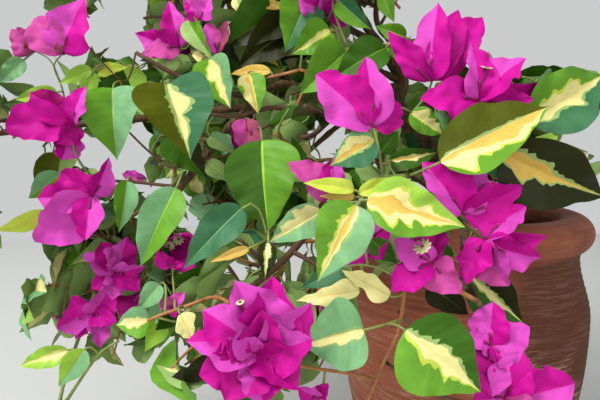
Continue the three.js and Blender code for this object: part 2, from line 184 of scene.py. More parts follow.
def colour(name, *shade):
    text = f"Base colour of {name.lower()}"
    return bpy.props.FloatVectorProperty(
        name=name, description=text, subtype="COLOR", size=4, min=0.0, max=1.0, default=paint(*shade)
    )


def metres(name, text, default):
    return bpy.props.FloatProperty(
        name=name, description=text, default=default, min=0.0, subtype="DISTANCE", unit="LENGTH"
    )


def number(name, text, default, **kind):
    return bpy.props.FloatProperty(name=name, description=text, default=default, min=0.0, **kind)


class PotSettings(bpy.types.PropertyGroup):
    """Sizes and colours of the clay pot."""

    height: metres("Height", "From the ground to the top of the lip", POT_HEIGHT)
    foot_radius: metres("Foot radius", "Radius at the ground", 0.098)
    belly_radius: metres("Belly radius", "Largest radius", POT_RADIUS)
    belly_height: metres("Belly height", "Height of the largest radius", 0.19)
    neck_radius: metres("Neck radius", "Radius under the lip", 0.121)
    neck_height: metres("Neck height", "Height of the neck", 0.258)
    lip_radius: metres("Lip radius", "Radius of the middle of the lip", 0.114)
    lip_half_width: metres("Lip half width", "Half of the lip across", 0.02)
    lip_half_height: metres("Lip half height", "Half of the lip upright", 0.019)
    wall: metres("Wall", "Thickness of the wall", 0.013)
    floor: metres("Floor", "Thickness of the floor", 0.018)
    ridge: metres("Throwing line", "Depth of the lines left by the wheel", 0.0005)
    clay: colour("Clay", 154, 84, 60)
    # Weathered clay, whose colour also paints the shade on the pot's right side below the lip
    dark_clay: colour("Weathered clay", 86, 49, 34)
    chalk: colour("Scrape", 196, 158, 138)


class SoilSettings(bpy.types.PropertyGroup):
    """Sizes and colours of the soil."""

    height: metres("Height", "Height of the soil's top", 0.268)
    lump: metres("Lump", "Size of the lumps on the soil", 0.006)
    earth: colour("Earth", 62, 46, 34)
    pale_earth: colour("Dry earth", 104, 82, 62)


class LimbSettings(bpy.types.PropertyGroup):
    """Sizes and colours of the trunk, boughs and twigs."""

    trunk_radius: metres("Trunk radius", "Radius above the flare", 0.0105)
    fork_radius: metres("Fork radius", "Radius at the fork", 0.007)
    flare: metres("Flare", "How far the foot of the trunk spreads", 0.008)
    relief: metres("Bark relief", "Depth of the furrows in the bark", 0.0011)
    bark: colour("Bark", 116, 90, 56)
    bark_furrow: colour("Furrow", 50, 38, 24)
    twig_wood: colour("Twig", 98, 66, 46)
    young_shoot: colour("Young shoot", 176, 116, 62)
    leaf_stalk: colour("Leaf stalk", 136, 148, 74)


class LeafSettings(bpy.types.PropertyGroup):
    """Sizes of the leaves."""

    length: metres("Length", "Length of a full leaf", 0.07)
    width: metres("Width", "Width of a full leaf", 0.047)
    thickness: metres("Thickness", "Thickness at the midrib", 0.0007)
    marked: number("Marked share", "Share of the leaves with a cream middle", 0.34, max=1.0, subtype="FACTOR")
    seed: bpy.props.IntProperty(name="Seed", description="Seed of the crown", default=7)


class BlossomSettings(bpy.types.PropertyGroup):
    """Sizes and colours of the blossom."""

    bract_length: metres("Bract length", "Length of a full bract", 0.046)
    bract_width: metres("Bract width", "Width of a full bract", 0.036)
    bract_thickness: metres("Bract thickness", "Thickness at the midrib", 0.0004)
    tube_length: metres("Tube length", "Length of the tube on a bract", 0.02)
    star_radius: metres("Star radius", "Radius of an open flower", 0.0055)
    flower_tube: colour("Tube", 138, 18, 88)
    flower_star: colour("Star", 242, 232, 178)
    flower_throat: colour("Throat", 196, 186, 84)


class StageSettings(bpy.types.PropertyGroup):
    """Light, floor and backdrop."""

    backdrop: colour("Backdrop", 206, 209, 208)
    floor: colour("Floor", 190, 190, 187)
    floor_radius: metres("Floor radius", "Radius of the round floor", 1.8)
    key_power: number("Key light", "Power of the key light", 78.0, unit="POWER")
    fill_power: number("Fill light", "Power of the fill light", 15.0, unit="POWER")
    back_power: number("Back light", "Power of the back light", 8.0, unit="POWER")
    world_strength: number("Backdrop strength", "Strength of the light all round", 0.95)


class Value:
    """A socket of a finish. Arithmetic on it adds Math nodes."""

    def __init__(self, finish, socket):
        self.finish = finish
        self.socket = socket

    def _math(self, operation, first, second):
        return self.finish.node("ShaderNodeMath", {0: first, 1: second}, operation=operation)

    def __add__(self, other):
        return self._math("ADD", self, other)

    def __radd__(self, other):
        return self._math("ADD", other, self)

    def __mul__(self, other):
        return self._math("MULTIPLY", self, other)

    def __rmul__(self, other):
        return self._math("MULTIPLY", other, self)


class Finish:
    """A material with its shader, and the one way that nodes are added to it."""

    def __init__(self, name, **constants):
        self.material = bpy.data.materials.new(name)
        self.material.use_nodes = True
        self.tree = self.material.node_tree
        self.set(**constants)

    def set(self, **values):
        shader = self.tree.nodes["Principled BSDF"]
        for name, value in values.items():
            self._feed(shader.inputs[name.replace("_", " ")], value)

    def _feed(self, socket, value):
        if isinstance(value, Value):
            self.tree.links.new(value.socket, socket)
        else:
            socket.default_value = value

    def node(self, kind, sockets, output=0, **settings):
        node = self.tree.nodes.new(kind)
        for name, value in settings.items():
            setattr(node, name, value)
        for name, value in sockets.items():
            self._feed(node.inputs[name], value)
        return Value(self, node.outputs[output])

    def place(self, scale=(1, 1, 1)):
        """Object coordinates, stretched."""
        here = self.node("ShaderNodeTexCoord", {}, "Object")
        return self.node("ShaderNodeMapping", {"Vector": here, "Scale": scale})

    def noise(self, place, scale, detail=2.0, roughness=0.5):
        sockets = {"Vector": place, "Scale": scale, "Detail": detail, "Roughness": roughness}
        return self.node("ShaderNodeTexNoise", sockets)

    def spread(self, value, low, high):
        """The value stretched so that low gives 0 and high gives 1."""
        return self.node("ShaderNodeMapRange", {"Value": value, "From Min": low, "From Max": high})

    def blend(self, factor, first, second):
        return self.node("ShaderNodeMix", {0: factor, 6: first, 7: second}, 2, data_type="RGBA")

    def bump(self, height, strength, distance):
        sockets = {"Height": height, "Strength": strength, "Distance": distance}
        return self.node("ShaderNodeBump", sockets, "Normal")


# Heights over which painted light and shade come in below the lip, and scraped low on the belly, in metres
SHADING_UNDER_LIP = (0.266, 0.258)
LOW_ON_BELLY = (0.205, 0.165)


def clay_finish(settings):
    """Weathered clay: red and dark patches, painted light and shade, chalky scrapes and fine lines round the
    pot.
    """
    finish = Finish("clay", Roughness=0.72, Specular_IOR_Level=0.2)
    place = finish.place()
    rightward, height = [finish.node("ShaderNodeSeparateXYZ", {"Vector": place}, axis) for axis in "XZ"]
    below_lip = finish.spread(height, *SHADING_UNDER_LIP)
    low_down = finish.spread(height, *LOW_ON_BELLY)
    # Painted light and shade: below the lip the clay darkens towards the right side and lightens towards the
    # left
    painted_light_and_shade = (rightward + 0.05) * below_lip * 2.2
    patches = finish.spread(finish.noise(finish.place((1, 1, 0.7)), 5.5, 5.0, 0.62) + painted_light_and_shade, 0.4, 0.66)
    base = finish.blend(patches, settings.clay, settings.dark_clay)
    lines = finish.noise(finish.place((1.5, 1.5, 60)), 3.0, 3.0)
    base = finish.blend(finish.spread(lines, 0.42, 0.75) * 0.35, base, settings.dark_clay)
    scrapes = finish.spread(finish.noise(finish.place((6, 6, 110)), 6.0, 6.0, 0.7), 0.5, 0.6)
    worn = finish.spread(finish.noise(place, 9.0), 0.38, 0.52)
    base = finish.blend(scrapes * worn * (0.12 + low_down * 0.6), base, settings.chalk)
    grains = finish.noise(place, 420.0)
    finish.set(
        Base_Color=base,
        Roughness=0.6 + patches * 0.25,
        Normal=finish.bump(lines * 0.7 + grains * 0.3, 0.5, 0.0012),
    )
    return finish.material


def grained_finish(name, roughness, stretch, grain, share, colours, depth):
    """Soil or bark: a noise that gives both the colour and the relief."""
    finish = Finish(name, Roughness=roughness)
    grains = finish.noise(finish.place(stretch), *grain)
    finish.set(
        Base_Color=finish.blend(finish.spread(grains, *share), *colours),
        Normal=finish.bump(grains, *depth),
    )
    return finish.material


def uneven_finish(name, base, change, grain, share, **constants):
    """One colour that darkens unevenly, for thin wood, leaves and bracts."""
    finish = Finish(name, **constants)
    uneven = finish.spread(finish.noise(finish.place(), *grain), *share)
    darker = tuple(channel * change for channel in base[:3]) + (1.0,)
    finish.set(Base_Color=finish.blend(uneven, base, darker))
    return finish.material


def wood_finishes(settings, roughness_by_name):
    """Thin wood or flower finishes, each in the setting's colour of the same name."""
    return [
        uneven_finish(name, getattr(settings, name), 0.55, (90.0,), (0.3, 0.75), Roughness=roughness)
        for name, roughness in roughness_by_name.items()
    ]


class Shades:
    """The finishes of a kind of blade by name, and the slot that each takes."""

    def __init__(self, prefix, shades, roughness, change):
        self.names = list(shades)
        self.materials = [
            uneven_finish(
                prefix + name, paint(*shade), change, (55.0, 3.0, 0.6), (0.3, 0.7),
                Roughness=roughness, Specular_IOR_Level=0.12,
            )
            for name, (shade, _) in shades.items()
        ]

    def slot(self, name):
        return self.names.index(name)


def unit(vectors):
    vectors = np.asarray(vectors, float)
    return vectors / np.maximum(np.linalg.norm(vectors, axis=-1, keepdims=True), 1e-12)


def square_to(ways, overall):
    """Two directions square to each way and to each other, the first of them level where it can be."""
    helper = np.where(np.abs(overall[..., 2:]) < 0.8, UP, CAMERA_RIGHT)
    first = unit(np.cross(ways, helper))
    return first, np.cross(ways, first)


def evenly_spaced(points, count):
    """The same way, as points an equal length apart."""
    steps = np.linalg.norm(np.diff(points, axis=0), axis=1)
    travelled = np.concatenate([[0.0], np.cumsum(steps)])
    wanted = np.linspace(0.0, travelled[-1], count)
    return np.stack([np.interp(wanted, travelled, points[:, axis]) for axis in range(3)], axis=1)


def arch(start, pull, end, count=120):
    """A curve from start to end, drawn towards pull."""
    share = np.linspace(0.0, 1.0, count)[:, None]
    return (1 - share) ** 2 * start + 2 * share * (1 - share) * pull + share**2 * end


def through(points, per_span=40):
    """A smooth way through every point, with the same bends as the part's trunk."""
    points = np.asarray(points, float)
    way = np.vstack([2 * points[0] - points[1], points, 2 * points[-1] - points[-2]])
    gaps = [math.sqrt(np.linalg.norm(end - start)) for start, end in zip(way, way[1:])]
    share = np.linspace(0.0, 1.0, per_span, endpoint=False)[:, None]
    pieces = []
    for index, (before, start, end, after) in enumerate(zip(way, way[1:], way[2:], way[3:])):
        first, middle, last = gaps[index:index + 3]
        out = (start - before) / first - (end - before) / (first + middle) + (end - start) / middle
        into = (end - start) / middle - (after - start) / (middle + last) + (after - end) / last
        out, into = out * middle, into * middle
        cubic = 2 * start - 2 * end + out + into
        square = -3 * start + 3 * end - 2 * out - into
        pieces.append(start + out * share + square * share**2 + cubic * share**3)
    return np.vstack([*pieces, points[-1:]])


class Limb:
    """A limb's axis as evenly spaced points in metres, with its radius at each."""

    SAMPLES = 61

    def __init__(self, points, start_radius, end_radius):
        self.points = evenly_spaced(np.asarray(points, float), self.SAMPLES)
        self.radii = np.linspace(start_radius, end_radius, self.SAMPLES)

    def at(self, share):
        place = share * (self.SAMPLES - 1)
        low = min(int(place), self.SAMPLES - 2)
        return self.points[low] + (self.points[low + 1] - self.points[low]) * (place - low)

    def heading(self, share):
        low = min(int(share * (self.SAMPLES - 1)), self.SAMPLES - 2)
        return unit(self.points[low + 1] - self.points[low])


MIDDLES = {mass: np.array(row[0], float) * MM for mass, row in MASSES.items()}
REACHES = {mass: np.array(row[1], float) * MM for mass, row in MASSES.items()}


def inside_mass(mass, points, share=1.0):
    """True for each point inside the mass's rounded space, grown by share."""
    return np.linalg.norm((np.asarray(points) - MIDDLES[mass]) / REACHES[mass], axis=-1) < share


def inside_box(points):
    """True if every point lies within the part's own box."""
    low, high = np.array(CAD_BOX)
    return bool(((points > low - BOX_ROOM) & (points < high + BOX_ROOM)).all())


def clear_of_pot(points, room=0.004):
    """True if every point lies beside or above the pot."""
    beside = np.hypot(points[:, 0], points[:, 1]) > POT_RADIUS + room
    return bool((beside | (points[:, 2] > POT_HEIGHT + room)).all())


def inside_own_space(mass, point, room):
    """True inside the mass's rounded space and on its own side of its neighbours."""
    middle, reach = MIDDLES[mass], REACHES[mass]
    if not inside_mass(mass, point, 1 - room / reach.min()):
        return False
    for other in MASSES:
        across = MIDDLES[other] - middle
        share = reach.mean() / (reach.mean() + REACHES[other].mean())
        if other != mass and np.dot(point - middle - across * share, unit(across)) > -room:
            return False
    return True


def grow_limbs(settings):
    """The trunk, then each bough from its parent to the edge of its mass."""
    way = through(np.array(TRUNK_WAY, float) * MM)
    limbs = {"trunk": Limb(way, settings.trunk_radius, settings.fork_radius)}
    for name, (parent, place, bow, radii) in BOUGHS.items():
        root = limbs[parent].at(place)
        step = unit(MIDDLES[name] - root) * MM
        tip = root + step * SHORTEST_BOUGH
        while not inside_own_space(name, tip, ENTRY_ROOM * MM):
            tip = tip + step
        pull = (root + tip) / 2 + np.array(bow, float) * MM
        limbs[name] = Limb(arch(root, pull, tip), radii[0] * MM, radii[1] * MM)
    return limbs


def grow_stem(mass, bough):
    """A mass's stem goes on from its bough's tip, past the middle of the mass."""
    heading = bough.heading(1.0)
    start = bough.at(1.0) + heading * GAP * MM
    middle = MIDDLES[mass]
    pull = start + heading * STEM_PULL * np.linalg.norm(middle - start)
    end = middle + (middle - start) * STEM_PAST_CENTRE
    return Limb(arch(start, pull, end), bough.radii[-1], STEM_END_RADIUS * MM)


def spot(across, down, depth):
    """The place in metres that the camera sees at a pixel, at a depth from it in millimetres."""
    right = (across - PHOTO_WIDTH / 2) / PIXELS_PER_SLOPE
    up = (PHOTO_HEIGHT / 2 - down) / PIXELS_PER_SLOPE
    return CAMERA_PLACE + (CAMERA_FORWARD + CAMERA_RIGHT * right + CAMERA_UP * up) * (depth / 1000)


def seen_at(points):
    """The pixel and the depth in metres at which the camera sees each point."""
    away = np.asarray(points) - CAMERA_PLACE
    depth = away @ CAMERA_FORWARD
    across = PHOTO_WIDTH / 2 + away @ CAMERA_RIGHT / depth * PIXELS_PER_SLOPE
    down = PHOTO_HEIGHT / 2 - away @ CAMERA_UP / depth * PIXELS_PER_SLOPE
    return across, down, depth


def in_frame(across, down):
    """True for the photograph's pixels, and just beyond its edges."""
    beside = (across > -FRAME_MARGIN) & (across < PHOTO_WIDTH + FRAME_MARGIN)
    return beside & (down > -FRAME_MARGIN) & (down < PHOTO_HEIGHT + FRAME_MARGIN)


def in_picture(point):
    """True for a point that the photograph's view shows near its front, or just beyond its edges."""
    across, down, depth = seen_at(point)
    return depth < PICTURE_DEPTH and in_frame(across, down)


def facing(root, tip, turn):
    """The length and heading from root to tip, and where a blade there faces, turned about its midrib."""
    heading = unit(tip - root)
    toward = CAMERA_PLACE - (root + tip) / 2
    face = unit(toward - heading * np.dot(toward, heading))
    face = face * math.cos(turn) + np.cross(heading, face) * math.sin(turn)
    return np.linalg.norm(tip - root), heading, face


def linked(mesh, materials):
    """An object of a finished mesh, with its materials."""
    for material in materials:
        mesh.materials.append(material)
    piece = bpy.data.objects.new(mesh.name, mesh)
    bpy.context.scene.collection.objects.link(piece)
    return piece


def finished(mesh, materials, nodes=()):
    """Every piece rides on the root with its finishes, and the parts that it replaces are hidden."""
    piece = linked(mesh, materials)
    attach(piece, "root")
    if nodes:
        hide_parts(*nodes)


def mesh_from(bm, name):
    mesh = bpy.data.meshes.new(name)
    for face in bm.faces:
        face.smooth = True
    bm.to_mesh(mesh)
    bm.free()
    return mesh


def arrays_from(bm):
    """A small mesh as points, corners of its faces, corners per face and middles of its faces."""
    bm.verts.index_update()
    points = np.array([point.co[:] for point in bm.verts])
    corners = np.array([point.index for face in bm.faces for point in face.verts])
    counts = np.array([len(face.verts) for face in bm.faces])
    return points, corners, counts, np.array([face.calc_center_median()[:] for face in bm.faces])


class Pile:
    """Many small shapes of one kind, gathered as arrays and joined into one mesh."""

    def __init__(self):
        self.points, self.corners, self.counts, self.slots, self.borders = [], [], [], [], []
        self.size = 0

    def add(self, points, corners, counts, slots, borders):
        """Adds copies of one pattern: points by copy, one slot by copy and face, crisp border points."""
        copies, each = points.shape[:2]
        offsets = self.size + np.arange(copies)[:, None] * each
        self.points.append(points.reshape(-1, 3))
        self.corners.append((corners[None, :] + offsets).reshape(-1))
        self.counts.append(np.tile(counts, copies))
        self.slots.append(slots.reshape(-1))
        self.borders.append(np.tile(borders, copies))
        self.size += copies * each

    def mesh(self, name):
        corners, counts, slots = [
            np.concatenate(rows).astype(np.int32) for rows in (self.corners, self.counts, self.slots)
        ]
        mesh = bpy.data.meshes.new(name)
        mesh.vertices.add(self.size)
        mesh.vertices.foreach_set("co", np.vstack(self.points).astype(np.float32).ravel())
        mesh.loops.add(len(corners))
        mesh.loops.foreach_set("vertex_index", corners)
        mesh.polygons.add(len(counts))
        mesh.polygons.foreach_set("loop_start", (np.cumsum(counts) - counts).astype(np.int32))
        mesh.polygons.foreach_set("material_index", slots)
        mesh.polygons.foreach_set("use_smooth", np.ones(len(counts), bool))
        mesh.update(calc_edges=True)
        mesh.validate()
        borders = np.concatenate(self.borders)
        ends = np.empty(len(mesh.edges) * 2, np.int32)
        mesh.edges.foreach_get("vertices", ends)
        mark = mesh.attributes.new("sharp_edge", "BOOLEAN", "EDGE")
        mark.data.foreach_set("value", borders[ends[0::2]] & borders[ends[1::2]])
        return mesh


class BladePattern:
    """A flat blade of rows and columns as a closed thin shell, ready to be shaped many times."""

    def __init__(self, rows, columns, crowding):
        self.rows = rows
        self.columns = columns
        bm = bmesh.new()
        bmesh.ops.create_grid(bm, x_segments=rows, y_segments=columns, size=0.5)
        under = bmesh.ops.duplicate(bm, geom=bm.verts[:] + bm.edges[:] + bm.faces[:])["geom"]
        under_faces = [item for item in under if isinstance(item, bmesh.types.BMFace)]
        bmesh.ops.reverse_faces(bm, faces=under_faces)
        under_points = {point for face in under_faces for point in face.verts}
        for point in bm.verts:
            at_end, at_side = [abs(abs(value) - 0.5) < 1e-4 for value in point.co[:2]]
            point.co.z = 0.0 if at_end or at_side else (-1.0 if point in under_points else 1.0)
            if at_end:
                point.co.y = 0.0
        bmesh.ops.remove_doubles(bm, verts=bm.verts, dist=1e-5)
        places, self.corners, self.counts, middles = arrays_from(bm)
        spans = [[point.co.y for point in face.verts] for face in bm.faces]
        low, high = np.array([(min(span), max(span)) for span in spans]).T
        bm.free()
        self.row = np.rint((places[:, 0] + 0.5) * rows).astype(int)
        self.column = np.rint((places[:, 1] + 0.5) * columns).astype(int)
        self.side = places[:, 2]
        outer = np.where(low < -1e-6, low, high)
        inward = np.where(outer < 0, outer + 0.5 / columns, outer - 0.5 / columns)
        across = np.where(self.counts == 3, inward, (low + high) / 2)
        self.face_column = np.clip(((across + 0.5) * columns).astype(int), 0, columns - 1)
        self.face_under = (middles[:, 2] < 0).astype(int)
        self.borders = (self.side == 0.0) | (self.row == 0) | (self.row == rows)
        self.along = np.linspace(0.0, 1.0, rows + 1) ** crowding


class Blades:
    """Leaves or bracts of one pattern, kept as numbers until they are all shaped at once."""

    VEIN_ROWS = 3

    def __init__(self, pattern):
        self.pattern = pattern
        self.rows = []

    def add(self, root, heading, face, length, width, shape, across, slots):
        """Shape holds what shaped unpacks; across is the share of the half width at each point."""
        self.rows.append((root, heading, face, length, width, shape, across, slots))

    def shaped(self, thickness, rng):
        pattern = self.pattern
        columns = [np.array(column, float) for column in zip(*self.rows)]
        root, heading, face, length, width, shape, across, slots = columns
        length, width = length[:, None], width[:, None]
        heading = unit(heading)
        sideways = unit(np.cross(face, heading))
        upright = np.cross(heading, sideways)
        base, tip, fold, bend, wave, phase, slant, ragged, rough, veins, creases = shape.T[:, :, None]
        widest = base / (base + tip)
        peak = widest**base * (1 - widest) ** tip

        def outline_at(along):
            return np.maximum(along, 1e-9) ** base * np.maximum(1 - along, 0.0) ** tip / peak

        along = pattern.along[pattern.row][None, :]
        share = across[:, pattern.row, pattern.column]
        side = np.sign(share)
        forward_reach = slant * outline_at(along) * (1 - along) * along / (along + 0.15)
        outline = outline_at(along + forward_reach)
        swell = np.sin(2 * np.pi * along + phase * side)
        swell = swell + 0.6 * np.sin(4 * np.pi * along * 1.3 - phase + side)
        aside = width / 2 * outline * share * (1 + ragged * swell)
        ahead = along + forward_reach * np.abs(share)
        ripple = np.sin(2 * np.pi * 1.7 * along + phase + 1.9 * side)
        ripple = ripple + 0.5 * np.sin(2 * np.pi * 3.6 * along - phase)
        crinkle = rng.normal(size=(len(self.rows), pattern.rows + 1, pattern.columns + 1))
        crinkle = crinkle[:, pattern.row, pattern.column] * (pattern.side != 0)
        vein = np.where(pattern.row % self.VEIN_ROWS == 0, -1.0, 0.5)
        vein = vein * np.sqrt(np.abs(share)) * (1 - share**4)
        crease = np.abs(np.sin(6.6 * along + 2.4 * share + phase))
        crease = crease + 0.7 * np.abs(np.sin(10.4 * along - 3.4 * share + 2.3 * phase))
        crease = crease + 0.5 * np.abs(np.sin(5.0 * share + 3.1 * along * side + 1.7 * phase))
        rise = fold * np.abs(aside) + wave * ripple * share**2 * outline * width
        rise = rise + (crinkle * rough + (vein * veins + crease * creases) * outline) * width
        rise = rise + pattern.side[None, :] * thickness / 2 * outline
        bend = np.where(np.abs(bend) < 1e-3, 1e-3, bend)
        turn = bend * ahead
        forward = length * np.sin(turn) / bend + rise * np.sin(turn)
        lift = -length * (1 - np.cos(turn)) / bend + rise * np.cos(turn)
        points = root[:, None, :] + forward[..., None] * heading[:, None, :]
        points = points + aside[..., None] * sideways[:, None, :] + lift[..., None] * upright[:, None, :]
        return points, slots[:, pattern.face_under, pattern.face_column].astype(int)

    def into(self, pile, thickness, rng):
        if self.rows:
            points, slots = self.shaped(thickness, rng)
            pile.add(points, self.pattern.corners, self.pattern.counts, slots, self.pattern.borders)


class Tubes:
    """Twigs, stalks, tubes and thorns with the same number of rings and sides."""

    def __init__(self, rings, sides):
        self.rings = rings
        self.sides = sides
        self.rows = []

    def add(self, path, start_radius, end_radius, slot, middle_radius=None):
        middle_radius = (start_radius + end_radius) / 2 if middle_radius is None else middle_radius
        share = np.linspace(0.0, 1.0, self.rings)
        radii = np.interp(share, (0.0, 0.5, 1.0), (start_radius, middle_radius, end_radius))
        self.rows.append((evenly_spaced(path, self.rings), radii, slot))

    def into(self, pile):
        if not self.rows:
            return
        rings, sides = self.rings, self.sides
        paths, radii, slots = [np.array(column) for column in zip(*self.rows)]
        overall = unit(paths[:, -1] - paths[:, 0])
        first, second = square_to(unit(np.gradient(paths, axis=1)), overall[:, None, :])
        angles = (math.tau * np.arange(sides) / sides)[:, None]
        round_about = first[:, :, None, :] * np.cos(angles) + second[:, :, None, :] * np.sin(angles)
        points = paths[:, :, None, :] + round_about * radii[:, :, None, None]
        ring = np.arange(rings - 1)[:, None] * sides
        here = np.arange(sides)[None, :]
        after = (here + 1) % sides
        walls = np.stack([ring + here, ring + after, ring + sides + after, ring + sides + here], axis=-1)
        ends = [np.arange(sides)[::-1], (rings - 1) * sides + np.arange(sides)]
        counts = np.concatenate([np.full((rings - 1) * sides, 4), [sides, sides]])
        faces = np.repeat(slots[:, None], len(counts), axis=1)
        points = points.reshape(len(self.rows), rings * sides, 3)
        corners = np.concatenate([walls.reshape(-1), *ends])
        pile.add(points, corners, counts, faces, np.zeros(rings * sides, bool))


def star_pattern():
    """A small open flower as a closed shell: ten rounded lobes round a raised yellow throat."""
    lobes = 10
    bm = bmesh.new()
    bmesh.ops.create_circle(bm, cap_ends=True, cap_tris=True, segments=lobes * 4, radius=1.0)
    for point in bm.verts:
        if point.co.to_2d().length > 0.5:
            angle = math.atan2(point.co.y, point.co.x)
            reach = 0.74 + 0.26 * abs(math.cos(lobes / 2 * angle))
            lift = 0.1 * math.cos(lobes * angle)
            point.co = Vector((math.cos(angle) * reach, math.sin(angle) * reach, lift))
        else:
            point.co.z = -0.12
    bmesh.ops.inset_region(bm, faces=bm.faces, thickness=0.5, depth=-0.03, use_even_offset=False)
    bmesh.ops.triangulate(bm, faces=bm.faces)
    bmesh.ops.solidify(bm, geom=bm.faces, thickness=0.08)
    bmesh.ops.recalc_face_normals(bm, faces=bm.faces)
    points, corners, counts, middles = arrays_from(bm)
    bm.free()
    return points, corners, counts, np.where(np.hypot(middles[:, 0], middles[:, 1]) < 0.3, 2, 1)


def stars_into(pile, stars):
    if not stars:
        return
    points, corners, counts, slots = star_pattern()
    middles, ways, radii = [np.array(column) for column in zip(*stars)]
    first, second = square_to(ways, ways)
    axes = [axis[:, None, :] for axis in (first, second, ways)]
    copies = points[:, :1] * axes[0] + points[:, 1:2] * axes[1] + points[:, 2:] * axes[2]
    copies = middles[:, None, :] + radii[:, None, None] * copies
    pile.add(copies, corners, counts, np.tile(slots, (len(stars), 1)), np.zeros(len(points), bool))


def spun(profile, steps):
    """A profile of radius and height, turned about the middle into a closed skin."""
    bm = bmesh.new()
    points = [bm.verts.new((across, 0.0, height)) for across, height in profile]
    edges = [bm.edges.new(pair) for pair in zip(points, points[1:])]
    bmesh.ops.spin(
        bm, geom=points + edges, cent=(0, 0, 0), axis=(0, 0, 1), angle=math.tau, steps=steps, use_merge=True
    )
    bmesh.ops.remove_doubles(bm, verts=bm.verts, dist=1e-5)
    bmesh.ops.recalc_face_normals(bm, faces=bm.faces)
    return bm


def pot_outer_radius(pot, height):
    """The pot's outside at a height: a swelling belly, then a hollow neck."""
    if height <= pot.belly_height:
        narrowing = (1 - height / pot.belly_height) ** 2.2
        return pot.belly_radius - (pot.belly_radius - pot.foot_radius) * narrowing
    rise = min((height - pot.belly_height) / (pot.neck_height - pot.belly_height), 1.0)
    return pot.neck_radius + (pot.belly_radius - pot.neck_radius) * (0.5 + 0.5 * math.cos(math.pi * rise))


def pot_profile(pot):
    """The pot in section, from the middle of its foot, up, over the lip and down inside."""
    foot_round = 0.004
    throw_lines = 46
    profile = [(0.0, 0.0), (pot.foot_radius - foot_round, 0.0), (pot.foot_radius - 0.001, 0.001)]
    for height in np.linspace(foot_round, pot.neck_height, 150):
        line = math.sin(math.tau * throw_lines * height / pot.height + 1.5 * math.sin(40 * height))
        profile.append((pot_outer_radius(pot, height) + pot.ridge * line, height))
    lip_middle = pot.height - pot.lip_half_height
    for angle in np.radians(np.linspace(-65, 180, 44)):
        across = pot.lip_radius + pot.lip_half_width * math.cos(angle)
        profile.append((across, lip_middle + pot.lip_half_height * math.sin(angle)))
    for height in np.linspace(pot.neck_height, pot.floor, 24):
        profile.append((pot_outer_radius(pot, height) - pot.wall, height))
    return profile + [(0.0, pot.floor)]


class BUSH_OT_pot(bpy.types.Operator):
    """Spin the clay pot with its throwing lines"""

    bl_idname = "bush.pot"
    bl_label = "Pot"

    def execute(self, context):
        settings = context.scene.bush_pot
        mesh = mesh_from(spun(pot_profile(settings), steps=128), "clay_pot")
        finished(mesh, [clay_finish(settings)], ["pot"])
        return {"FINISHED"}


class BUSH_OT_soil(bpy.types.Operator):
    """Fill the pot with crumbly soil"""

    bl_idname = "bush.soil"
    bl_label = "Soil"

    # Gap at the wall, where the straight side stops, and how much lower the soil is at the wall
    SIDE_GAP = 0.0006
    SIDE_STOP = 0.005
    EDGE_DROP = 0.003

    # Smooth soil that is left at the wall, and the crumbs with their room from it
    EDGE_ROOM = 0.004
    CRUMB_ROOM = 0.008
    CRUMBS = 260

    def execute(self, context):
        settings = context.scene.bush_soil
        pot = context.scene.bush_pot
        bottom = pot.floor + self.SIDE_GAP
        profile = [(0.0, bottom)]
        for height in np.linspace(bottom, settings.height - self.SIDE_STOP, 14):
            profile.append((pot_outer_radius(pot, height) - pot.wall - self.SIDE_GAP, height))
        rim = profile[-1][0]
        for share in np.linspace(1.0, 0.0, 26)[1:]:
            profile.append((rim * share, settings.height - self.EDGE_DROP * share**4))
        bm = spun(profile, steps=96)
        for point in bm.verts:
            across = math.hypot(point.co.x, point.co.y)
            if point.co.z > settings.height - self.EDGE_ROOM and across < rim - self.EDGE_ROOM:
                point.co.z += settings.lump * 0.35 * noise.fractal(point.co * 90, 1.0, 2.0, 4)
        rng = np.random.default_rng(3)
        for _ in range(self.CRUMBS):
            away = (rim - self.CRUMB_ROOM) * math.sqrt(rng.random())
            angle = math.tau * rng.random()
            size = settings.lump * rng.uniform(0.15, 0.55)
            crumb = bmesh.ops.create_icosphere(bm, subdivisions=1, radius=size)["verts"]
            for point in crumb:
                point.co *= 1 + 0.25 * noise.noise(point.co * 900)
            place = (away * math.cos(angle), away * math.sin(angle), settings.height)
            bmesh.ops.translate(bm, verts=crumb, vec=place)
        colours = (settings.earth, settings.pale_earth)
        earth = grained_finish("soil", 0.95, (1, 1, 1), (180.0, 5.0, 0.7), (0.42, 0.7), colours, (0.8, 0.002))
        finished(mesh_from(bm, "soil_top"), [earth], ["soil"])
        return {"FINISHED"}


def edges_among(items, ring):
    """The edges of a list whose two ends are in a ring of points."""
    edges = [item for item in items if isinstance(item, bmesh.types.BMEdge)]
    return [edge for edge in edges if all(point in ring for point in edge.verts)]


def turn_about(place, centre, side, up):
    """The angle of a ring's point about its centre, from 0 to a full turn."""
    away = place - centre
    return round(math.atan2(away.dot(up), away.dot(side)) % math.tau, 3) % 6.283


def bark_tube(bm, limb, sides, rings, radius_at, relief):
    """Extrudes a ring of points along a limb and gives it the relief of bark."""
    side = Vector(limb.heading(0.0)).orthogonal().normalized()
    ring = bmesh.ops.create_circle(bm, cap_ends=True, segments=sides, radius=1.0)["verts"]
    edges = edges_among(bm.edges, ring)
    for step, share in enumerate(np.linspace(0.0, 1.0, rings)):
        if step:
            grown = bmesh.ops.extrude_edge_only(bm, edges=edges)["geom"]
            ring = [item for item in grown if isinstance(item, bmesh.types.BMVert)]
            edges = edges_among(grown, ring)
            ring.sort(key=lambda point: turn_about(point.co, centre, side, up))
        centre, heading = Vector(limb.at(share)), Vector(limb.heading(share))
        side = (side - heading * side.dot(heading)).normalized()
        up = heading.cross(side)
        for index, point in enumerate(ring):
            angle = math.tau * index / sides
            out = side * math.cos(angle) + up * math.sin(angle)
            grain = Vector((out.x * 5, out.y * 5, share * 9))
            furrow = noise.fractal(grain + centre * 60, 0.9, 2.1, 4)
            point.co = centre + out * radius_at(share, angle) + out * relief * furrow
    bmesh.ops.contextual_create(bm, geom=edges)


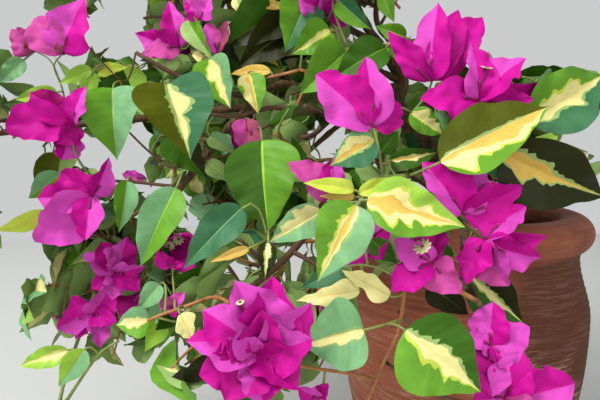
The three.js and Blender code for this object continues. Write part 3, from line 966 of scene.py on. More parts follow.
class BUSH_OT_limbs(bpy.types.Operator):
    """Grow the trunk and boughs with the relief of their bark"""

    bl_idname = "bush.limbs"
    bl_label = "Trunk and boughs"

    # Sides and rings of each skin of bark, and how deep the trunk's stands in the soil
    TRUNK_SKIN = (28, 110)
    BOUGH_SKIN = (14, 60)
    STUB_SKIN = (12, 14)
    BELOW_SOIL = 0.004

    # Place on the trunk, way, length and radius of each cut stub
    STUBS = (
        (0.93, (-0.9, -0.2, 0.35), 0.016, 0.0042),
        (0.985, (0.45, -0.35, 0.8), 0.014, 0.0036),
        (0.55, (0.8, -0.4, 0.4), 0.012, 0.0034),
    )

    def execute(self, context):
        settings = context.scene.bush_limbs
        limbs = grow_limbs(settings)
        colours = (settings.bark_furrow, settings.bark)
        bark = grained_finish(
            "bark", 0.9, (1, 1, 0.3), (260.0, 4.0, 0.65), (0.35, 0.62), colours, (0.7, 0.0012)
        )

        def trunk_radius(share, angle):
            taper = settings.trunk_radius + (settings.fork_radius - settings.trunk_radius) * share
            return taper + settings.flare * math.exp(-share / 0.16) * (1 + 0.45 * math.cos(5 * angle))

        def bough_radius(share, _):
            knot = 0.1 * math.sin(share * 23 + limb.radii[0] * 9000)
            collar = 0.35 * math.exp(-share / 0.05)
            return (limb.radii[0] + (limb.radii[-1] - limb.radii[0]) * share) * (1 + knot + collar)

        def stub_radius(share, _):
            return radius * (1.2 - 0.5 * share)

        bm = bmesh.new()
        bark_tube(bm, limbs["trunk"], *self.TRUNK_SKIN, trunk_radius, settings.relief)
        geometry = bm.verts[:] + bm.edges[:] + bm.faces[:]
        cut = Vector((0, 0, context.scene.bush_soil.height - self.BELOW_SOIL))
        result = bmesh.ops.bisect_plane(
            bm, geom=geometry, plane_co=cut, plane_no=(0, 0, -1), clear_outer=True
        )
        rim = [item for item in result["geom_cut"] if isinstance(item, bmesh.types.BMEdge)]
        bmesh.ops.contextual_create(bm, geom=rim)
        for share, way, length, radius in self.STUBS:
            start = limbs["trunk"].at(share)
            end = start + unit(way) * (length + settings.fork_radius)
            stub = Limb(np.linspace(start, end, 8), radius, radius)
            bark_tube(bm, stub, *self.STUB_SKIN, stub_radius, settings.relief * 0.7)
        bmesh.ops.recalc_face_normals(bm, faces=bm.faces)
        finished(mesh_from(bm, "trunk_bark"), [bark], ["trunk"])

        for name in BOUGHS:
            limb = limbs[name]
            bm = bmesh.new()
            bark_tube(bm, limb, *self.BOUGH_SKIN, bough_radius, settings.relief * 0.55)
            bmesh.ops.recalc_face_normals(bm, faces=bm.faces)
            finished(mesh_from(bm, "bark_" + name), [bark], ["bough_" + name])
        return {"FINISHED"}


# A place in the view is the pixel across, the pixel down and the depth from the camera in millimetres

# Front leaves: root, tip, width as a share of length, shades and marking, then bend, turn in degrees, fold
# Where two shades are given they paint light and shade on the two halves; blue and teal paint a sky
# reflection
FRONT_LEAVES = {
    "left_plain": ((113, 88, 450), (117, 158, 440), 0.76, "mid/blue", 0.5, 12, 0.45),
    "left_half_dark": ((168, 84, 430), (190, 157, 420), 0.9, "olive/teal_blotch_cream", 0.5, -6, 0.5),
    "big_plain": ((262, 140, 410), (268, 229, 405), 0.8, "deep/mid", 0.5, 8, 0.2),
    "dark_left": ((284, 8, 470), (229, 44, 465), 0.8, "deep/dark", 0.6, 10, 0.5),
    "dark_right": ((296, 26, 468), (240, 66, 463), 0.6, "dark", 0.6, 10, 0.5),
    "upper_mid": ((346, 52, 425), (302, 92, 415), 0.72, "mid", 0.6, 0, 0.4),
    "upper_mark": ((330, 30, 430), (292, 54, 430), 0.78, "mid_narrow", 0.4, 0, 0.4),
    "upper_blue": ((306, 2, 445), (286, 50, 440), 0.8, "mid/teal", 0.6),
    "by_stem": ((386, 48, 410), (337, 76, 410), 0.62, "deep", 0.6, 15, 0.4),
    "top_blue": ((338, 0, 420), (371, 29, 420), 0.55, "mid/teal", 0.4, 10, 0.4),
    "top_hanging": ((382, -6, 420), (394, 22, 420), 0.55, "mid", 0.4),
    "stem_dark": ((406, 37, 420), (376, 26, 420), 0.55, "mid", 0.4),
    "stem_stripe": ((390, 43, 415), (407, 60, 415), 0.75, "mid_second"),
    "inner_cream": ((210, 59, 450), (230, 107, 440), 0.72, "mid/blue_centre", 0.5, 10, 0.5),
    "inner_split": ((248, 74, 450), (258, 113, 440), 0.62, "mid_first", 0.4, -10),
    "orange_under": ((271, 72, 450), (231, 74, 455), 0.34, "butter", 0.3, 30),
    "top_cream": ((236, -2, 460), (244, 18, 460), 0.6, "cream/grey", 0.2, 0, 0.2),
    "top_yellow": ((262, 3, 460), (287, 7, 460), 0.42, "butter", 0.2, 0, 0.2),
    "drooping_blue": ((188, 20, 460), (212, 57, 455), 0.44, "grey/mid", 0.7, 15, 0.5),
    "cream_sliver": ((192, 54, 462), (223, 63, 460), 0.34, "cream", 0.2, 0, 0.2),
    "pale_sliver": ((179, 60, 470), (148, 57, 470), 0.4, "grey", 0.2),
    "fresh_left": ((92, 70, 462), (59, 84, 460), 0.45, "fresh", 0.3, 20),
    "fresh_right": ((98, 72, 462), (128, 67, 460), 0.45, "young", 0.3, -20),
    "fresh_down": ((92, 75, 462), (82, 105, 460), 0.5, "fresh"),
    "edge_mid": ((24, 60, 460), (0, 82, 460), 0.62, "blue", 0.4, 10),
    "edge_narrow": ((57, 92, 460), (15, 100, 460), 0.42, "fresh", 0.3, 10),
    "inner_dark": ((167, 136, 452), (206, 177, 450), 0.62, "deep/dark", 0.5, -10, 0.4),
    "inner_pale": ((210, 136, 452), (237, 153, 450), 0.55, "grey/blue", 0.4, 0, 0.4),
    "inner_under": ((207, 162, 452), (232, 182, 450), 0.55, "under"),
    "right_high": ((440, 162, 360), (548, 107, 372), 0.5, "mid/olive_first_gold", 0.35, -12),
    "right_tip": ((528, 122, 390), (602, 76, 400), 0.62, "teal/mid_centre", 0.4, 5, 0.5),
    "right_dark": ((500, 152, 372), (603, 196, 385), 0.58, "dark_base_butter", 0.5, 10),
    "right_bright": ((534, 152, 382), (560, 131, 380), 0.6, "fresh", 0.2, 0, 0.2),
    "trunk_small": ((411, 112, 400), (444, 135, 400), 0.65, "mid_second_cream"),
    "blue_wedge": ((374, 140, 372), (330, 166, 368), 0.72, "blue/teal_first"),
    "dark_behind": ((381, 152, 392), (398, 131, 392), 0.75, "deep"),
    "dark_mark": ((391, 160, 384), (438, 152, 380), 0.46, "deep_stripes", 0.4, 10, 0.4),
    "young_left": ((354, 190, 360), (304, 183, 358), 0.34, "young", 0.4, 15, 0.4),
    "young_right": ((359, 193, 360), (405, 180, 358), 0.36, "young", 0.4, -15, 0.4),
    "young_yellow": ((355, 197, 362), (319, 196, 360), 0.26, "butter"),
    "cream_right": ((367, 200, 350), (464, 227, 346), 0.56, "mid/fresh_wide_gold", 0.35, -8, 0.25),
    "striped_down": ((357, 205, 350), (318, 281, 346), 0.66, "mid/blue_stripes_gold", 0.35, 0, 0.25),
    "cream_left": ((322, 211, 362), (270, 242, 362), 0.58, "blue_first_cream", 0.4),
    "dark_under": ((344, 268, 365), (301, 288, 370), 0.46, "teal", 0.4),
    "cream_lobe": ((390, 296, 362), (342, 270, 360), 0.42, "cream", 0.3, 0, 0.2),
    "cream_lobe_low": ((360, 290, 362), (296, 301, 360), 0.34, "cream", 0.3, 0, 0.2),
    "blue_round": ((364, 330, 352), (302, 345, 350), 1.05, "blue/blue_slice"),
    "heart_low": ((405, 330, 342), (480, 391, 338), 0.86, "mid/deep_stripes_cream", 0.35, 5, 0.2),
    "small_green": ((371, 240, 372), (397, 263, 370), 0.62, "deep"),
    "glossy_left": ((428, 284, 392), (468, 314, 390), 0.62, "dark", 0.4),
    "glossy_right": ((470, 276, 392), (522, 322, 390), 0.66, "deep/dark_narrow", 0.4),
    "long_pale": ((176, 188, 392), (142, 263, 384), 0.5, "blue/mid", 0.6, 10, 0.4),
    "left_behind": ((127, 181, 430), (119, 232, 430), 0.48, "mid/blue", 0.4, -10, 0.4),
    "long_blue": ((242, 208, 372), (186, 266, 362), 0.48, "teal", 0.6, 10, 0.4),
    "left_small": ((61, 174, 450), (29, 198, 450), 0.62, "blue/mid", 0.4),
    "edge_yellow": ((55, 214, 440), (-4, 231, 440), 0.3, "young"),
    "inner_yellow": ((249, 248, 362), (210, 262, 358), 0.24, "butter"),
    "hanging_mark": ((268, 242, 356), (265, 279, 352), 0.52, "dark_stripes", 0.4),
    "low_stripe": ((68, 350, 422), (21, 366, 420), 0.45, "fresh_centre", 0.4, 0, 0.4),
    "low_drop": ((85, 349, 422), (59, 386, 420), 0.55, "fresh/blue", 0.4),
    "round_band": ((150, 320, 372), (116, 325, 370), 0.98, "blue/mid_centre", 0.3, 0, 0.25),
    "low_cream": ((180, 314, 352), (195, 343, 350), 0.6, "cream", 0.2, 0, 0.2),
    "low_blue": ((160, 284, 378), (139, 309, 376), 0.7, "blue", 0.4),
}

# Front blooms: root, then each bract's tip, width as a share of length and shade
FRONT_BLOOMS = {
    "far_left": ((35, 51, 460), (12, 30, 455, 0.95, "rose"), (22, 40, 452, 0.7, "dull")),
    "upper_left": ((64, 54, 445), (35, 20, 440, 0.8, "rose"), (84, 0, 435, 0.72, "magenta"),
        (57, 42, 438, 0.8, "dull")),
    "inner_left": ((180, 48, 470), (137, 34, 465, 0.62, "magenta"), (169, 3, 465, 0.5, "magenta"),
        (142, 55, 460, 0.5, "rose")),
    "top_left": ((201, 20, 455), (186, 1, 450, 0.95, "magenta"), (210, -3, 450, 0.9, "bright")),
    "pale_bud": ((218, 54, 460), (207, 24, 455, 0.6, "rose"), (228, 22, 455, 0.5, "dull")),
    "top_centre": ((325, 14, 445), (300, 0, 440, 0.9, "magenta"), (352, -2, 440, 0.9, "magenta"),
        (324, -16, 440, 0.9, "bright")),
    "centre_high": ((373, 127, 372), (319, 77, 365, 0.62, "magenta"), (366, 60, 370, 0.52, "bright"),
        (399, 105, 378, 0.8, "shade")),
    "right_high_tall": ((432, 81, 395), (390, 33, 392, 0.42, "magenta"), (438, 6, 390, 0.5, "magenta"),
        (458, 12, 402, 0.42, "shade"), (480, 20, 405, 0.4, "magenta")),
    "right_high_wide": ((478, 101, 385), (471, 44, 382, 0.55, "magenta"), (524, 60, 380, 0.62, "bright"),
        (531, 99, 375, 0.6, "magenta"), (423, 99, 375, 0.62, "magenta"), (556, 84, 385, 0.3, "shade")),
    "left_large": ((74, 124, 425), (8, 126, 418, 0.58, "magenta"), (32, 94, 425, 0.6, "dark"),
        (85, 88, 420, 0.62, "magenta"), (58, 143, 412, 0.9, "shade")),
    "left_drop": ((68, 133, 432), (62, 159, 430, 1.0, "magenta")),
    "left_lower": ((92, 196, 425), (37, 240, 420, 0.6, "bright"), (40, 198, 418, 0.62, "bright"),
        (108, 159, 420, 0.55, "bright"), (86, 238, 415, 0.62, "magenta"), (62, 172, 430, 0.7, "shade")),
    "low_left": ((115, 272, 455), (126, 238, 450, 0.72, "bright"), (84, 256, 450, 0.72, "bright"),
        (143, 266, 450, 0.72, "magenta"), (112, 299, 445, 0.8, "bright"), (92, 288, 448, 0.7, "magenta"),
        (138, 290, 446, 0.7, "shade"), (101, 243, 458, 0.8, "shade")),
    "low_edge": ((92, 314, 455), (58, 328, 450, 0.72, "magenta"), (110, 284, 450, 0.66, "bright"),
        (100, 347, 445, 0.72, "bright"), (72, 298, 455, 0.7, "shade"), (76, 338, 447, 0.7, "bright"),
        (116, 322, 448, 0.7, "magenta")),
    "little_one": ((172, 266, 390), (157, 253, 388, 0.8, "shade"), (183, 262, 388, 0.7, "magenta")),
    "little_pale": ((173, 308, 380), (160, 299, 378, 0.8, "rose"), (184, 293, 378, 0.8, "rose"),
        (176, 317, 375, 0.8, "magenta")),
    "hanging_dull": ((245, 119, 435), (245, 155, 432, 0.7, "dull"), (238, 150, 440, 0.6, "dark")),
    "largest": ((258, 352, 328), (236, 284, 322, 0.8, "bright"), (272, 280, 328, 0.74, "magenta"),
        (309, 305, 326, 0.74, "bright"), (310, 340, 322, 0.8, "magenta"), (190, 342, 322, 0.8, "bright"),
        (205, 312, 332, 0.74, "magenta"), (202, 374, 320, 0.84, "magenta"), (226, 398, 314, 0.9, "shade"),
        (262, 402, 311, 0.9, "magenta"), (296, 388, 318, 0.84, "shade"), (262, 312, 312, 0.95, "shade"),
        (228, 338, 311, 0.8, "magenta")),
    "largest_low": ((320, 398, 360), (299, 388, 358, 0.8, "magenta"), (328, 384, 358, 0.8, "shade")),
    "pink_behind": ((330, 198, 385), (290, 164, 383, 0.62, "rose"), (334, 158, 385, 0.62, "magenta")),
    "under_leaf": ((388, 226, 385), (350, 264, 383, 0.8, "magenta"), (372, 232, 390, 0.8, "shade")),
    "cluster_high": ((462, 214, 372), (424, 164, 370, 0.62, "magenta"), (476, 160, 368, 0.7, "magenta"),
        (520, 186, 372, 0.6, "shade")),
    "cluster_left": ((432, 262, 362), (393, 290, 358, 0.72, "magenta"), (396, 240, 360, 0.66, "bright"),
        (460, 292, 352, 0.8, "rose"), (440, 218, 364, 0.7, "shade")),
    "cluster_right": ((486, 240, 366), (538, 257, 360, 0.72, "bright"), (508, 284, 355, 0.78, "rose"),
        (524, 208, 368, 0.66, "magenta"), (544, 237, 366, 0.34, "shade"),
        (468, 282, 356, 0.7, "magenta")),
    "low_right": ((490, 346, 362), (493, 304, 360, 0.8, "magenta"), (528, 328, 358, 0.78, "bright"),
        (465, 336, 358, 0.8, "bright"), (468, 374, 356, 0.8, "shade"), (510, 372, 354, 0.85, "magenta"),
        (492, 394, 350, 0.8, "bright")),
    "lowest_right": ((504, 398, 355), (474, 402, 352, 0.72, "magenta"), (522, 354, 352, 0.8, "bright"),
        (571, 384, 350, 0.9, "bright"), (548, 420, 346, 0.9, "rose")),
    "stalk_bud": ((146, 178, 450), (123, 174, 450, 0.5, "rose")),
}

# Open flowers of front blooms: place of the star and its radius in millimetres
FRONT_STARS = {
    "right_high_wide": ((487, 67, 376), 4.2),
    "cluster_left": ((422, 246, 350), 6.4),
    "largest": ((240, 302, 312), 2.8),
}

# Front twigs: kind, radii of the two ends in millimetres, and places along each
FRONT_TWIGS = {
    "orange_shoot": ("shoot", 1.7, 1.3, (404, 287, 365), (399, 332, 372), (384, 361, 376),
        (366, 404, 380)),
    "shoot_branch": ("shoot", 1.3, 1.0, (376, 380, 378), (346, 373, 370), (300, 366, 350),
        (262, 354, 330)),
    "shoot_side": ("twig", 1.4, 1.0, (399, 312, 372), (420, 330, 360), (470, 340, 362), (494, 338, 363)),
    "shoot_low": ("twig", 1.4, 1.0, (384, 361, 380), (430, 392, 365), (480, 404, 360), (510, 402, 356)),
    "low_orange": ("shoot", 1.4, 1.0, (205, 299, 370), (184, 307, 368), (155, 317, 370), (146, 322, 372)),
    "low_green": ("stalk", 1.0, 1.6, (119, 341, 430), (103, 350, 430), (92, 363, 430), (67, 400, 430)),
    "dark_curl": ("twig", 2.0, 3.0, (300, 137, 440), (311, 136, 440), (327, 122, 450), (338, 113, 460)),
    "dark_long": ("twig", 2.6, 1.5, (310, 110, 460), (268, 108, 455), (239, 116, 450), (200, 113, 450)),
    "dark_second": ("twig", 1.8, 1.3, (300, 119, 460), (277, 122, 450), (258, 130, 440)),
    "pale_under": ("twig", 1.2, 1.0, (239, 151, 450), (220, 157, 450), (201, 159, 450)),
    "diagonal": ("twig", 1.1, 0.8, (162, 163, 450), (143, 146, 448), (125, 128, 445)),
    "left_brown": ("twig", 1.6, 1.1, (170, 186, 445), (134, 182, 445), (96, 180, 440), (63, 177, 445)),
    "left_stalk": ("stalk", 1.1, 0.9, (96, 180, 440), (84, 168, 435), (74, 150, 430), (73, 128, 427)),
    "stalk_high": ("stalk", 0.8, 0.6, (60, 82, 460), (54, 66, 455), (62, 54, 447)),
    "stalk_far": ("stalk", 0.8, 0.6, (60, 82, 460), (50, 60, 460), (35, 51, 460)),
    "stalk_cross": ("twig", 0.8, 0.6, (120, 80, 460), (104, 64, 455), (87, 45, 446)),
    "orange_high": ("shoot", 1.6, 1.3, (300, 70, 450), (284, 74, 450), (266, 78, 450)),
    "bloom_stalk": ("stalk", 1.1, 1.0, (382, 174, 375), (378, 146, 372), (374, 130, 372)),
    "spray_core": ("stalk", 1.8, 1.3, (408, 176, 385), (384, 182, 372), (366, 194, 362), (360, 202, 354)),
    "cluster_stalk": ("twig", 1.4, 1.0, (430, 190, 400), (445, 205, 385), (462, 214, 373)),
    "cluster_stalk_low": ("twig", 1.2, 1.0, (445, 205, 385), (440, 235, 370), (432, 261, 363)),
    "cluster_stalk_right": ("twig", 1.2, 1.0, (445, 205, 385), (468, 226, 372), (486, 240, 367)),
}

# Parts of the view that stay open: left, top, right and bottom pixel
OPEN_VIEWS = {
    "upper_right": (404, -80, 700, 30),
    "above_right": (482, 20, 700, 68),
    "between_stems": (330, 18, 366, 34),
    "above_pot": (562, 122, 700, 150),
    "beside_pot": (545, 200, 700, 460),
    "pot_right": (522, 196, 600, 420),
    "pot_front": (400, 296, 560, 440),
    "pot_left": (366, 292, 410, 440),
    "pot_low_left": (330, 372, 372, 440),
    "upper_left": (-20, -10, 30, 26),
    "above_fresh": (100, -10, 143, 62),
    "left_gap": (-10, 134, 30, 206),
    "left_gap_low": (10, 236, 54, 268),
    "middle_gap": (140, 60, 152, 84),
    "by_trunk": (404, 64, 424, 82),
    "left_stalks": (16, 62, 54, 90),
    "left_between": (122, 122, 148, 166),
    "left_middle": (80, 138, 106, 168),
    "centre_gap": (314, 120, 344, 156),
    "inner_top": (150, 44, 172, 58),
}

# The view is kept past the photograph's edges by so many pixels, and between these depths in metres
FRAME_MARGIN = 30
NEAREST_DEPTH = 0.05
PICTURE_DEPTH = 0.5

# A filling leaf that is as near a front blade as this in pixels stays this far behind it in metres
BLADE_PIXELS = 17
BLADE_DEPTH = 0.012

# Least room between the middles of two filling leaves, in metres
LEAF_SPACING = 0.0115

# Smallest and largest filling leaf of each quarter, as a share of a full leaf
LEAF_SIZES = {"front": (0.45, 0.92), "left": (0.42, 0.86), "back": (0.6, 1.05)}

# Twigs in a mass of each quarter, leaves on a twig and on a shoot, and tries to place each leaf
TWIG_COUNTS = {"front": 48, "left": 32, "back": 32}
LEAVES_ON_TWIG = 4
LEAVES_ON_SHOOT = 3
LEAF_TRIES = 5

# How far from the middle of its mass each thing may grow, as a share of the mass's reach
INNER_REACH = 0.93
LEAF_REACH = 1.02
BLOOM_REACH = 1.06
WANDERING_REACH = 1.2
TWIG_END_REACH = (0.4, 0.88)
WANDERER_END_REACH = (0.98, 1.1)

# Radii in metres at the two ends of what grows, and at the narrow waist of a flower's tube
TWIG_RADII = (0.0019, 0.0011)
SHOOT_RADII = (0.0012, 0.0008)
STALK_RADII = (0.001, 0.0007)
THORN_RADII = (0.0008, 0.0001)
FLOWER_RADII = (0.0009, 0.0011)
FLOWER_WAIST = 0.0006

# Shortest twig, shortest link to a front twig and shortest stalk, in metres
SHORTEST_TWIG = 0.016
SHORTEST_LINK = 0.003
SHORTEST_STALK = 0.002

# Radius of a stalk at the leaf, its thickest at the wood, and the length that bears more, in metres
STALK_RADIUS = 0.0008
THICKEST_STALK = 0.0016
BEARING_STALK = 0.03

# Shades and markings that are dealt out, with the share of each
# Darker shades dealt out to leaves inside the crown, as painted shade
SHADED_INNER_SHADES = ("deep", "dark", "teal", "olive"), (0.44, 0.3, 0.16, 0.1)
OUTER_SHADES = ("deep", "mid", "fresh", "blue", "teal")
SHADE_SHARES = {
    "front": (0.22, 0.34, 0.18, 0.16, 0.10),
    "left": (0.12, 0.28, 0.26, 0.26, 0.08),
    "back": (0.24, 0.34, 0.18, 0.14, 0.10),
}
DEALT_MARKINGS = ("centre", "wide", "stripes", "first", "second"), (0.44, 0.14, 0.22, 0.1, 0.1)
DEALT_BRACTS = ("magenta", "bright", "shade", "rose"), (0.5, 0.2, 0.22, 0.08)

# How far each marking reaches from the midrib towards the two margins
MARKINGS = {
    "centre": (0.46, 0.46),
    "wide": (0.72, 0.72),
    "stripes": (0.36, 0.3),
    "narrow": (0.2, 0.24),
    "base": (0.45, 0.3),
    "first": (1.0, 0.1),
    "second": (0.1, 1.0),
    "slice": (0.06, 0.6),
    "blotch": (0.1, 0.34),
}

# How full each marking is from the root to the tip of its leaf
HALF_TAPER = ((0.0, 0.1, 0.6, 0.9, 1.0), (0.5, 0.95, 1.0, 0.85, 0.5))
TAPERS = {
    "blotch": ((0.0, 0.08, 0.2, 0.45, 0.7, 0.78, 1.0), (0.1, 0.1, 1.0, 0.6, 1.0, 0.1, 0.1)),
    "base": ((0.0, 0.1, 0.35, 0.5, 1.0), (0.6, 1.0, 1.0, 0.2, 0.1)),
    "first": HALF_TAPER,
    "second": HALF_TAPER,
}

# Slant of the rows, raggedness of the outline, roughness, and depth of the veins and creases
SURFACES = {
    "leaf": (0.18, 0.06, 0.012, 0.0, 0.02),
    "fine_leaf": (0.34, 0.06, 0.001, 0.011, 0.012),
    "ragged_leaf": (0.34, 0.24, 0.001, 0.011, 0.012),
    "bract": (0.3, 0.11, 0.02, 0.0, 0.06),
    "fine_bract": (0.3, 0.11, 0.004, 0.012, 0.05),
}

# The slot that each kind of thin wood takes
WOODS = {"twig": 0, "shoot": 1, "stalk": 2}


class Crown:
    """Everything that grows on the limbs, gathered by kind and by quarter."""

    # Rows, columns and how much the rows crowd towards the root, by kind of blade
    PATTERNS = {
        "plain": (8, 4, 1.35),
        "marked": (9, 6, 1.3),
        "fine": (30, 12, 1.25),
        "bract": (7, 4, 1.15),
        "fine_bract": (18, 10, 1.15),
    }
    MIDRIB = 0.035
    TWIG_POINTS = 24

    def __init__(self, scene):
        self.leaf = scene.bush_leaves
        self.blossom = scene.bush_blossom
        self.rng = np.random.default_rng(self.leaf.seed)
        self.leaves = Shades("leaf_", LEAF_SHADES, 0.42, 0.72)
        self.bracts = Shades("bract_", BRACT_SHADES, 0.62, 0.82)
        patterns = {kind: BladePattern(*sizes) for kind, sizes in self.PATTERNS.items()}
        self.blades = {
            quarter: {kind: Blades(pattern) for kind, pattern in patterns.items()} for quarter in QUARTERS
        }
        self.twigs = {quarter: Tubes(rings=9, sides=6) for quarter in QUARTERS}
        self.shoots = {quarter: Tubes(rings=5, sides=5) for quarter in QUARTERS}
        self.tubes = {quarter: Tubes(rings=7, sides=6) for quarter in QUARTERS}
        self.stars = {quarter: [] for quarter in QUARTERS}
        self.wood = []
        self.blade_spots = []
        self.front_spots = []

    def crossways(self, along):
        """Two directions square to a way and to each other, turned by chance."""
        across = unit(np.cross(self.rng.normal(size=3), along))
        return across, np.cross(along, across)

    def marks(self, pattern, fine, marking, streaked):
        """Where the colours change across a leaf, by row: lines on each side of the midrib."""
        rng = self.rng
        rows = pattern.rows + 1
        middle = pattern.columns // 2
        across = np.tile(np.linspace(-1.0, 1.0, pattern.columns + 1), (rows, 1))
        if marking is None and not fine:
            return across
        amounts = MARKINGS[marking] if marking else (0.3, 0.3)
        streak = 0.0
        if streaked:
            streak = np.interp(pattern.along, np.linspace(0, 1, 7), rng.uniform(0.0, 0.8, 7))
        for side, amount in zip((-1, 1), amounts):
            line = np.full(rows, amount)
            if marking:
                line = self.ragged_line(pattern.along, amount) * self.fullness(pattern.along, marking)
            line = np.clip(line, 0.06, 0.9)
            edge = np.clip(line + rng.uniform(0.03, 0.14) * rng.uniform(0.3, 1.7, rows), 0.14, 0.95)
            lines = [line * streak + self.MIDRIB * (1 - streak)] if fine else []
            lines += [line, edge]
            left = middle - len(lines)
            lines += [edge + (1 - edge) * step / left for step in range(1, left + 1)]
            for step, reach in enumerate(lines, 1):
                across[:, middle + side * step] = side * reach
        return across

    def fullness(self, along, marking):
        """How full a marking is along a leaf: a splash that starts and ends where it likes."""
        if marking in TAPERS:
            return np.interp(along, *TAPERS[marking])
        start = self.rng.uniform(-0.25, 0.15)
        end = self.rng.uniform(0.8, 1.15)
        return np.sqrt(np.sin(np.pi * np.clip((along - start) / (end - start), 0.01, 0.99)))

    def ragged_line(self, along, amount):
        """How far a marking reaches from the midrib along a leaf: swells, lobes and small teeth."""
        swells = np.interp(along, np.linspace(0, 1, 5), self.rng.uniform(0.7, 1.25, 5))
        lobes = np.interp(along, np.linspace(0, 1, 12), self.rng.uniform(0.35, 1.3, 12))
        return amount * swells * lobes * self.rng.uniform(0.9, 1.1, len(along))

    def leaf_slots(self, columns, fine, shade, marking, pale, streaked):
        """The slot of each column of faces on the top and underside of a leaf."""
        halves = shade.split("/")
        middle = columns // 2
        ribs = 1 if fine else 0
        # Painted light and shade: the two halves of a folded leaf can take a lit shade and a shaded one
        top = [halves[0]] * middle + [halves[-1]] * middle
        # A leaf painted dark for shade also takes painted shade, deep, on its underside
        below = ["deep" if shade == "dark" else "under"] * columns
        if marking:
            for step in (middle - 1 - ribs, middle + ribs):
                top[step] = below[step] = pale
            for step, half in ((middle - 2 - ribs, halves[0]), (middle + 1 + ribs, halves[-1])):
                top[step] = "young" if half in ("mid", "fresh") else "grey"
        if fine:
            plain_rib = LEAF_SHADES[halves[-1]][1]
            top[middle - 1] = top[middle] = ("butter" if streaked else pale) if marking else plain_rib
        return [[self.leaves.slot(name) for name in names] for names in (top, below)]

    def add_leaf(self, mass, root, heading, face, length, width, kind, bend=None, fold=None):
        """A leaf of a kind such as mid/blue_centre_cream; one with a given fold is a fine one."""
        rng = self.rng
        fine = fold is not None
        shade, marking, pale = (kind.split("_") + [None, None])[:3]
        if pale is None:
            pale = "butter" if shade.split("/")[0] in ("deep", "dark") and rng.random() < 0.5 else "cream"
        streaked = pale == "gold" or (marking is not None and rng.random() < 0.2)
        pale = "cream" if pale == "gold" else pale
        blades = self.blades[QUARTER_OF[mass]]["fine" if fine else ("marked" if marking else "plain")]
        bend = rng.uniform(-0.1, 0.9) if bend is None else bend
        fold = fold * 1.35 if fine else rng.uniform(0.15, 0.6)
        powers = (0.56 * rng.uniform(0.9, 1.12), 1.18 * rng.uniform(0.92, 1.1))
        waves = (rng.uniform(0.03, 0.07), rng.uniform(0, 6.28))
        surface = SURFACES[("ragged_leaf" if shade == "cream" else "fine_leaf") if fine else "leaf"]
        across = self.marks(blades.pattern, fine, marking, streaked)
        slots = self.leaf_slots(blades.pattern.columns, fine, shade, marking, pale, streaked)
        blades.add(root, heading, face, length, width, (*powers, fold, bend, *waves, *surface), across, slots)

    def add_bract(self, mass, root, heading, face, length, width, shade, cup, kind="bract"):
        rng = self.rng
        blades = self.blades[QUARTER_OF[mass]][kind]
        columns = blades.pattern.columns
        powers = (0.58 * rng.uniform(0.88, 1.2), 0.92 * rng.uniform(0.85, 1.25))
        fold = rng.uniform(0.1, 0.6)
        waves = (rng.uniform(0.06, 0.15), rng.uniform(0, 6.28))
        top = [self.bracts.slot(shade)] * columns
        # Painted light: on some fine bracts one half takes the lit shade
        if kind == "fine_bract" and rng.random() < 0.6:
            half = slice(0, columns // 2) if rng.random() < 0.5 else slice(columns // 2, columns)
            top[half] = [self.bracts.slot(BRACT_SHADES[shade][1])] * (columns // 2)
        # Painted shade: the underside of a magenta or bright bract takes the shade
        below = [self.bracts.slot("shade" if shade in ("magenta", "bright") else shade)] * columns
        shape = (*powers, fold, cup, *waves, *SURFACES[kind])
        across = self.marks(blades.pattern, False, None, False)
        blades.add(root, heading, face, length, width, shape, across, [top, below])

    def nearest_wood(self, point):
        points = np.vstack(self.wood)
        return points[np.argmin(np.linalg.norm(points - point, axis=1))]

    def add_twig(self, tubes, mass, path, start_radius, end_radius, kind):
        path = evenly_spaced(np.asarray(path, float), self.TWIG_POINTS)
        tubes[QUARTER_OF[mass]].add(path, start_radius, end_radius, WOODS[kind])
        self.wood.append(path)

    def join(self, mass, point, heading):
        """A stalk from the nearest wood to a leaf's or bloom's root, coming in along its heading."""
        start = self.nearest_wood(point)
        distance = np.linalg.norm(point - start)
        if distance < SHORTEST_STALK:
            return
        pull = point - unit(heading) * distance * 0.45
        path = arch(start, pull, point + unit(heading) * STALK_RADIUS, self.TWIG_POINTS)
        thick = min(STALK_RADIUS * (1.1 + 7 * distance), THICKEST_STALK)
        self.twigs[QUARTER_OF[mass]].add(path, thick, STALK_RADIUS, WOODS["stalk"])
        if distance > BEARING_STALK:
            self.wood.append(path)

    def add_flower(self, mass, base, way, length, star_radius=0.0):
        """A slim tube, swollen at its foot, and an open star where the flower is out."""
        way = unit(way)
        tip = base + way * length
        self.tubes[QUARTER_OF[mass]].add(np.linspace(base, tip, 5), *FLOWER_RADII, 0, FLOWER_WAIST)
        if star_radius:
            self.stars[QUARTER_OF[mass]].append((tip, way, star_radius))

    def mass_at(self, point):
        """The mass that a point belongs to."""
        return min(MASSES, key=lambda mass: np.linalg.norm((point - MIDDLES[mass]) / REACHES[mass]))

    def add_front_twig(self, kind, first_radius, last_radius, *places):
        points = np.array([spot(*place) for place in places])
        points = points if first_radius >= last_radius else points[::-1]
        thick, thin = max(first_radius, last_radius) * MM, min(first_radius, last_radius) * MM
        start = self.nearest_wood(points[0])
        mass = self.mass_at(points[0])
        distance = np.linalg.norm(points[0] - start)
        if distance > SHORTEST_LINK:
            pull = points[0] - unit(points[1] - points[0]) * distance * 0.4
            self.add_twig(self.twigs, mass, arch(start, pull, points[0]), thick * 1.1, thick, kind)
        self.add_twig(self.twigs, mass, through(points, 12), thick, thin, kind)

    def add_front_leaf(self, root_place, tip_place, share, kind, bend=0.3, turn=0, fold=0.3):
        root, tip = spot(*root_place), spot(*tip_place)
        length, heading, face = facing(root, tip, math.radians(turn))
        lifted = unit(heading + face * math.sin(bend / 2))
        mass = self.mass_at((root + tip) / 2)
        stretch = 1 / max(math.sin(bend) / bend, 0.7)
        self.add_leaf(mass, root, lifted, face, length * stretch, length * share, kind, bend, fold)
        self.join(mass, root, heading)
        self.keep_front_spots(root, tip, share)

